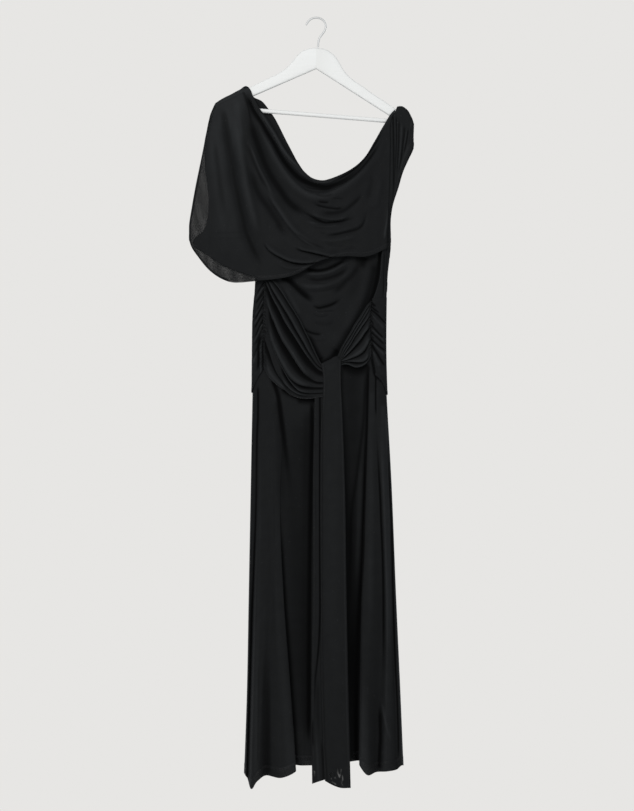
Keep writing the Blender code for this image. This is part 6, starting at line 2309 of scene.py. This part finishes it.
class Dress:
    """The dress: all its sheets, in the order in which they are worn."""

    def __init__(self) -> None:
        """Lists the sheets, with the flat size of each cut piece in metres."""
        self.sheets: list[Sheet] = [
            OverlayBack(
                "overlay_back_cloth", "overlay_back", 124, 118, (0.47, 0.46), 0.1348, Held.DRAPED,
                back=True, hems=("top", "bottom"),
            ),
            BodiceBack(
                "bodice_back_cloth", "bodice_back", 70, 104, (0.30, 0.58), 0.1306, Held.HUNG,
                ("overlay_back",), back=True,
            ),
            OverlayLining(
                "overlay_lining_cloth", "overlay_lining", 90, 84, (0.42, 0.42), 0.1040, Held.HUNG,
                ("hanger_body",), Slot.LINING,
            ),
            BodiceFront(
                "bodice_front_cloth", "bodice_front", 112, 150, (0.30, 0.52), 0.1284, Held.HUNG,
                ("overlay_front",),
            ),
            OverlayFront(
                "overlay_front_cloth", "overlay_front", 194, 182, (0.46, 0.44), 0.1294, Held.DRAPED,
                hems=("top", "bottom"), seams=("left",),
            ),
            RightPanel(
                "right_shoulder_cloth", "right_panel", 44, 200, (0.09, 0.43), 0.0190, Held.GATHERED,
                hems=("right",), seams=("left",), hem_width=6.0,
            ),
            HipWrap(
                "hip_wrap_cloth", "hip_wrap", 206, 132, (0.42, 0.27), 0.1000, Held.GATHERED,
                ("skirt_back", "bodice_back"), hems=("bottom",),
            ),
            Swag(
                "left_swag_cloth", "left_swag", 122, 0, (0.21, 0.32), 0.0355, Held.GATHERED, ("skirt_front",),
                valleys=LEFT_VALLEYS, pleats=puckers(LEFT_RUCHE, 1.0, 7.0, 5), hems=("bottom",),
                seams=("left",), hem_width=4.0,
            ),
            Swag(
                "right_swag_cloth", "right_swag", 76, 0, (0.12, 0.16), 0.0110, Held.GATHERED,
                ("skirt_front",), valleys=RIGHT_VALLEYS, pleats=puckers(RIGHT_RUCHE, -1.0, 6.0, 6),
                reach=0.86, rows_each=18, hems=("bottom",), seams=("left",), hem_width=4.0,
            ),
            Skirt(
                "skirt_back_cloth", "skirt_back", 152, 102, (0.55, 0.92), 0.3380, Held.HUNG, ("bodice_back",),
                back=True, hems=("bottom",), hem_width=20.0, weave=Weave.HEM, table=SKIRT_BACK,
            ),
            Skirt(
                "skirt_front_cloth", "skirt_front", 224, 166, (0.55, 0.92), 0.3518, Held.HUNG,
                ("bodice_front",), hems=("bottom",), hem_width=20.0, weave=Weave.HEM, table=SKIRT_FRONT,
                creases=SKIRT_SHADES,
            ),
            Sash(
                "sash_under_cloth", "sash_under", 26, 180, (0.055, 0.90), 0.0414, Held.HUNG, ("skirt_front",),
                edges=(UNDER_TOP, UNDER_HEM, UNDER_LEFT, UNDER_RIGHT), depths=UNDER_DEPTH,
                creases=UNDER_CREASES, bow=0.5, thin_places=UNDER_THIN, hems=("left",), hem_width=4.0,
                weave=Weave.END,
            ),
            Sash(
                "sash_front_cloth", "sash_front", 36, 190, (0.06, 0.93), 0.0492, Held.HUNG, ("skirt_front",),
                edges=(SASH_TOP, SASH_HEM, SASH_LEFT, SASH_RIGHT), depths=SASH_DEPTH, creases=SASH_CREASES,
                bow=2.0, thin_places=SASH_THIN, hems=("left", "right"), hem_width=4.0, weave=Weave.END,
            ),
        ]

    def build(self, finishes: Finishes, stitcher: "Stitcher") -> None:
        """Builds and dresses every sheet with its stitches.

        Args:
            finishes: The finishes.
            stitcher: Lays the stitches.
        """
        for sheet in self.sheets:
            made = sheet.build(finishes)
            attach(made, "root")
            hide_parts(sheet.node)
            paths = sheet.stitch_paths() if sheet.hems or sheet.seams else []
            if paths:
                thread = stitcher.sew(sheet.node + "_stitches", paths, finishes.thread)
                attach(thread, "root")
            LOG.info("%s: %d points, %d lines of stitches", made.name, len(made.data.vertices), len(paths))


@dataclass
class Stitcher:
    """Lays stitches along lines with Geometry Nodes."""

    length: float = 2.4
    gap: float = 1.2
    radius: float = 0.22
    sides: int = 5
    unevenness: float = 0.12  # share by which stitches are longer or shorter
    seed: int = 7
    tree: bpy.types.NodeTree | None = None
    sockets: dict[str, str] = field(default_factory=dict)

    def plan(self) -> bpy.types.NodeTree:
        """Builds the tree once.

        Returns:
            The tree.
        """
        tree = bpy.data.node_groups.new("lay_stitches", "GeometryNodeTree")
        face = tree.interface
        face.new_socket("Geometry", in_out="OUTPUT", socket_type="NodeSocketGeometry")
        face.new_socket("Geometry", in_out="INPUT", socket_type="NodeSocketGeometry")
        for label, kind in (
            ("Stitch Length", "NodeSocketFloat"), ("Pitch", "NodeSocketFloat"),
            ("Thread Radius", "NodeSocketFloat"), ("Unevenness", "NodeSocketFloat"),
            ("Seed", "NodeSocketInt"), ("Thread", "NodeSocketMaterial"),
        ):
            self.sockets[label] = face.new_socket(label, in_out="INPUT", socket_type=kind).identifier
        w = Wiring(tree)
        given = w.node("NodeGroupInput").outputs
        result = w.node("NodeGroupOutput")
        curve = w.node("GeometryNodeMeshToCurve")
        w.fill(curve, Mesh=given["Geometry"])
        spaced = w.node("GeometryNodeResampleCurve", mode="LENGTH")
        w.fill(spaced, Curve=curve.outputs[0], Length=given["Pitch"])
        stitch = w.node("GeometryNodeMeshCylinder")
        w.fill(stitch, Vertices=self.sides, Radius=given["Thread Radius"], Depth=given["Stitch Length"])
        turn = w.node("FunctionNodeAlignRotationToVector", axis="Z")
        w.feed(turn.inputs["Vector"], w.node("GeometryNodeInputTangent").outputs[0])
        size = w.node("FunctionNodeRandomValue", data_type="FLOAT")
        low, high = w.maths("SUBTRACT", 1.0, given["Unevenness"]), w.maths("ADD", 1.0, given["Unevenness"])
        w.feed(size.inputs[2], low)
        w.feed(size.inputs[3], high)
        w.feed(size.inputs["Seed"], given["Seed"])
        sown = w.node("GeometryNodeInstanceOnPoints")
        w.fill(sown, Points=spaced.outputs[0], Instance=stitch.outputs["Mesh"])
        w.fill(sown, Rotation=turn.outputs[0], Scale=size.outputs[1])
        real = w.node("GeometryNodeRealizeInstances")
        w.feed(real.inputs[0], sown.outputs[0])
        finish = w.node("GeometryNodeSetMaterial")
        w.fill(finish, Geometry=real.outputs[0], Material=given["Thread"])
        w.feed(result.inputs[0], finish.outputs[0])
        return tree

    def sew(self, name: str, paths: list[Array], thread: bpy.types.Material) -> bpy.types.Object:
        """Lays stitches along lines.

        Args:
            name: Name of the piece.
            paths: The lines' points in millimetres.
            thread: The thread's material.

        Returns:
            A plain mesh of stitches.
        """
        if self.tree is None:
            self.tree = self.plan()
        guide = bpy.data.meshes.new(name + "_guide")
        starts = np.cumsum([0] + [len(path) for path in paths])
        runs = [range(first, first + len(path) - 1) for first, path in zip(starts, paths)]
        edges = [(i, i + 1) for run in runs for i in run]
        guide.from_pydata((np.concatenate(paths) * MM).tolist(), edges, [])
        holder = add_object(name + "_guide", guide)
        run = holder.modifiers.new("stitches", "NODES")
        run.node_group = self.tree
        for label, value in (
            ("Stitch Length", self.length * MM), ("Pitch", (self.length + self.gap) * MM),
            ("Thread Radius", self.radius * MM), ("Unevenness", self.unevenness),
            ("Seed", self.seed), ("Thread", thread),
        ):
            run[self.sockets[label]] = value
        graph = bpy.context.evaluated_depsgraph_get()
        mesh = bpy.data.meshes.new_from_object(holder.evaluated_get(graph))
        mesh.name = name
        made = add_object(name, mesh)
        bpy.data.objects.remove(holder)
        return made


# ---------------------------------------------------------------- the hanger
@dataclass
class Hanger:
    """A wooden coat hanger with a wire hook and a trouser bar, tilted as it hangs."""

    tilt: float = 4.6
    middle: float = 7.0
    top: float = -63.5
    thick: float = 13.0
    drawn_in: float = 190.0  # from here the left end is shorter, inside the shoulder seam,
    drawn_share: float = 0.78  # by this share of its length
    arm_end: float = 205.0
    tip_end: float = 215.0
    tip_round: float = 7.0  # over this length before the end the wood gets thinner,
    tip_least: float = 0.12  # down to this share squared of its thickness
    square: float = 0.5  # power that gives the wood its rounded oblong section
    lower_apex: float = 45.0
    lower_slope: float = 0.5326
    wire: float = 4.0
    bar: float = 9.0
    bar_z: float = -208.0
    bar_reach: float = 203.0
    bar_ends: Rows = ((0.0, 0.9), (0.3, 0.4), (0.8, 0.1))  # distance from its end, and how much thinner
    bar_even: float = 1.5  # it has its full thickness from here on
    dome: tuple[float, ...] = (0.97, 0.86, 0.68, 0.45, 0.2)  # rings of the hook's end, in radii
    arm_rows: Rows = field(default_factory=lambda: [
        (0, 0), (10, 0.6), (20, 3), (29, 7.5), (37, 13), (43, 20), (49, 28), (60, 44), (74, 57), (87, 66),
        (100, 73), (127, 89.5), (152, 103), (180, 119), (205, 133),
    ])
    tip_rows: Rows = field(default_factory=lambda: [
        (210, 137.5, 154.5), (213.5, 141.5, 152.5), (215, 145.5, 149.5),
    ])
    hook_rows: Rows = field(default_factory=lambda: [
        (-21.9, -14.5), (-18.5, -7.5), (-12.1, -1.4), (-6.0, 1.3), (0.0, 2.0), (6.5, 1.0), (13.5, -2.6),
        (19.0, -9.5), (20.3, -17.0), (17.8, -26.0), (12.7, -34.5), (8.6, -42.0), (7.1, -50.0), (7.0, -60.0),
        (7.0, -83.2),
    ])

    def tilted(self, points: Array) -> Array:
        """Turns points about the hook's inside top as the hanger hangs.

        Args:
            points: x, y and z of each.

        Returns:
            The turned points.
        """
        c, s = math.cos(math.radians(self.tilt)), math.sin(math.radians(self.tilt))
        x, y, z = points[..., 0], points[..., 1], points[..., 2]
        return np.stack([x * c + z * s, y, z * c - x * s], -1)

    def wood(self) -> bpy.types.Object:
        """Makes the wooden body.

        Returns:
            The object.
        """
        arm_rows = [(d, up, self.lower_apex + self.lower_slope * d) for d, up in self.arm_rows]
        rows = np.array(arm_rows + self.tip_rows, float)
        arm = Smooth(rows[:, 0], rows[:, 1:])
        tip = np.linspace(self.arm_end + 1, self.tip_end - 0.4, 12)
        half_way = np.concatenate([np.linspace(0, self.arm_end, 110), tip, [self.tip_end]])
        reach = np.concatenate([-half_way[:0:-1], half_way])
        edges = arm.at(np.abs(reach))
        middle, half = edges.mean(axis=-1), (edges[..., 1] - edges[..., 0]) / 2
        sides = 40
        angle = np.linspace(0, 2 * np.pi, sides, endpoint=False)
        c, s = np.cos(angle)[None, :], np.sin(angle)[None, :]
        left = (self.tip_end + 0.6 - np.abs(reach)) / self.tip_round
        thinner = np.sqrt(np.clip(left, self.tip_least, 1))[:, None]
        y = self.thick / 2 * thinner * np.sign(c) * np.abs(c) ** self.square
        z = self.top - middle[:, None] + half[:, None] * np.sign(s) * np.abs(s) ** self.square
        shorter = -self.drawn_in + (reach + self.drawn_in) * self.drawn_share
        along = np.where(reach < -self.drawn_in, shorter, reach)
        x = np.broadcast_to((self.middle + along)[:, None], y.shape)
        points = np.stack([x, y, z], -1).reshape(-1, 3)
        centres = np.array([points[:sides].mean(0), points[-sides:].mean(0)])
        points = self.tilted(np.concatenate([points, centres]))
        return add_mesh("hanger_wood", points, rod_faces(len(reach), sides))

    def hook(self) -> bpy.types.Object:
        """Makes the wire hook, rounded at its free end.

        Returns:
            The object.
        """
        radius = self.wire / 2
        share = np.linspace(0, 1, 120)
        xz = line(self.hook_rows).at(share)
        path = np.stack([xz[:, 0], np.zeros(len(xz)), xz[:, 1]], -1)
        away = (path[0] - path[1]) / np.linalg.norm(path[0] - path[1])
        dome = np.array(self.dome)
        path = np.concatenate([path[0] + away * radius * (dome[:, None] - 0.1), path])
        radii = np.concatenate([radius * np.sqrt(1 - dome**2), np.full(len(xz), radius)])
        return tube("hanger_hook_wire", self.tilted(path), radii, 24)

    def rail(self) -> bpy.types.Object:
        """Makes the trouser bar, with softened ends.

        Returns:
            The object.
        """
        inward, thinner = np.array(self.bar_ends).T
        end = self.bar_reach - inward
        flat = self.bar_reach - self.bar_even
        along = np.concatenate([-end, np.linspace(-flat, flat, 60), end[::-1]])
        radii = np.full(len(along), self.bar / 2)
        radii[:3] = radii[-1:-4:-1] = self.bar / 2 - thinner
        path = np.stack([self.middle + along, np.zeros(len(along)), np.full(len(along), self.bar_z)], -1)
        return tube("hanger_rail", self.tilted(path), radii, 40)

    def build(self, finishes: Finishes) -> None:
        """Builds and dresses the hanger.

        Args:
            finishes: The finishes.
        """
        parts = [
            (self.wood(), "hanger_body", finishes.paint, Slot.WOOD),
            (self.rail(), "hanger_bar", finishes.paint, Slot.WOOD),
            (self.hook(), "hanger_hook", finishes.steel, Slot.STEEL),
        ]
        for made, node, finish, slot in parts:
            made.data.materials.append(finish)
            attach(made, "root")
            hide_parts(node)
            LOG.info("%s: %d points", made.name, len(made.data.vertices))


# ---------------------------------------------------------------- the studio
@dataclass
class Studio:
    """Camera, lights, pale floor and backdrop."""

    distance: float = 4.0
    frame_height: float = 1.752
    camera_z: float = -0.8357
    floor_z: float = -2.05
    backdrop: tuple[float, float, float] = (0.799, 0.791, 0.775)
    ambient: float = 0.30
    lamps: tuple[tuple, ...] = (  # name, place, side, watts
        ("key_lamp", (-1.1, -2.9, 0.7), 1.5, 66.0),
        ("fill_lamp", (1.6, -3.0, -0.6), 1.8, 22.0),
        ("back_lamp", (1.1, 2.9, 0.7), 1.5, 66.0),
        ("back_fill_lamp", (-1.8, 2.6, -0.6), 1.8, 22.0),
    )
    aim_z: float = -0.8  # where the lamps point
    floor_radius: float = 1400.0
    floor_sides: int = 96

    def camera(self) -> None:
        """Makes the camera, straight on."""
        data = bpy.data.cameras.new("camera")
        data.sensor_width = 36.0
        data.lens = 18.0 * self.distance / (self.frame_height / 2)
        made = add_object("camera", data)
        made.location = (0.0, -self.distance, self.camera_z)
        made.rotation_euler = (math.pi / 2, 0.0, 0.0)
        bpy.context.scene.camera = made

    def lamp(self, name: str, place: tuple[float, float, float], size: float, power: float) -> None:
        """Adds a soft square lamp that faces the dress.

        Args:
            name: Its name.
            place: Where it is, in metres.
            size: Its side.
            power: In watts.
        """
        data = bpy.data.lights.new(name, "AREA")
        data.shape, data.size, data.energy = "SQUARE", size, power
        made = add_object(name, data)
        made.location = place
        aim = np.array([0.0, 0.0, self.aim_z]) - np.array(place)
        made.rotation_euler = (
            math.atan2(math.hypot(aim[0], aim[1]), -aim[2]), 0.0, math.atan2(aim[1], aim[0]) - math.pi / 2,
        )
        made.visible_camera = False

    def world(self) -> None:
        """A pale backdrop for the camera and a softer light for everything else."""
        world = bpy.data.worlds.new("studio")
        world.use_nodes = True
        bpy.context.scene.world = world
        w = Wiring(world.node_tree)
        shown = world.node_tree.nodes["Background"]
        shown.inputs[0].default_value = (*self.backdrop, 1.0)
        soft = w.node("ShaderNodeBackground")
        soft.inputs[0].default_value = (0.9, 0.95, 1.0, 1.0)
        soft.inputs[1].default_value = self.ambient
        either = w.node("ShaderNodeMixShader")
        w.feed(either.inputs[0], w.node("ShaderNodeLightPath").outputs["Is Camera Ray"])
        w.feed(either.inputs[1], soft.outputs[0])
        w.feed(either.inputs[2], shown.outputs[0])
        w.feed(world.node_tree.nodes["World Output"].inputs[0], either.outputs[0])

    def floor(self) -> None:
        """Makes a pale round floor under the dress."""
        sides = self.floor_sides
        angle = np.linspace(0, 2 * np.pi, sides, endpoint=False)
        ring = np.stack([np.cos(angle), np.sin(angle), np.zeros(sides)], -1) * self.floor_radius
        points = np.concatenate([ring, [[0, 0, 0]]]) + np.array([0, 0, self.floor_z / MM])
        around = np.arange(sides)
        faces = np.stack([around, (around + 1) % sides, np.full(sides, sides), np.full(sides, sides)], -1)
        made = add_mesh("studio_floor", points, faces)
        finish, w, shader = new_finish("pale_floor")
        tone = w.noise(w.node("ShaderNodeTexCoord").outputs["Object"], 3.0, 3.0)
        colour = w.mix(tone, (0.74, 0.73, 0.71, 1.0), (0.80, 0.79, 0.77, 1.0))
        w.fill(shader, Base_Color=colour, Roughness=0.8)
        made.data.materials.append(finish)

    def build(self) -> None:
        """Sets up everything round the dress."""
        self.camera()
        for lamp in self.lamps:
            self.lamp(*lamp)
        self.world()
        self.floor()
        bpy.context.scene.view_settings.view_transform = "Standard"


def main() -> None:
    """Builds the studio, the hanger and the dress, and notes the sizes."""
    logging.basicConfig(level=logging.INFO, format="%(message)s")
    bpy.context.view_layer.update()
    Studio().build()
    finishes = Finishes()
    Hanger().build(finishes)
    Dress().build(finishes, Stitcher())
    bpy.context.view_layer.update()


if __name__ == "__main__":
    main()
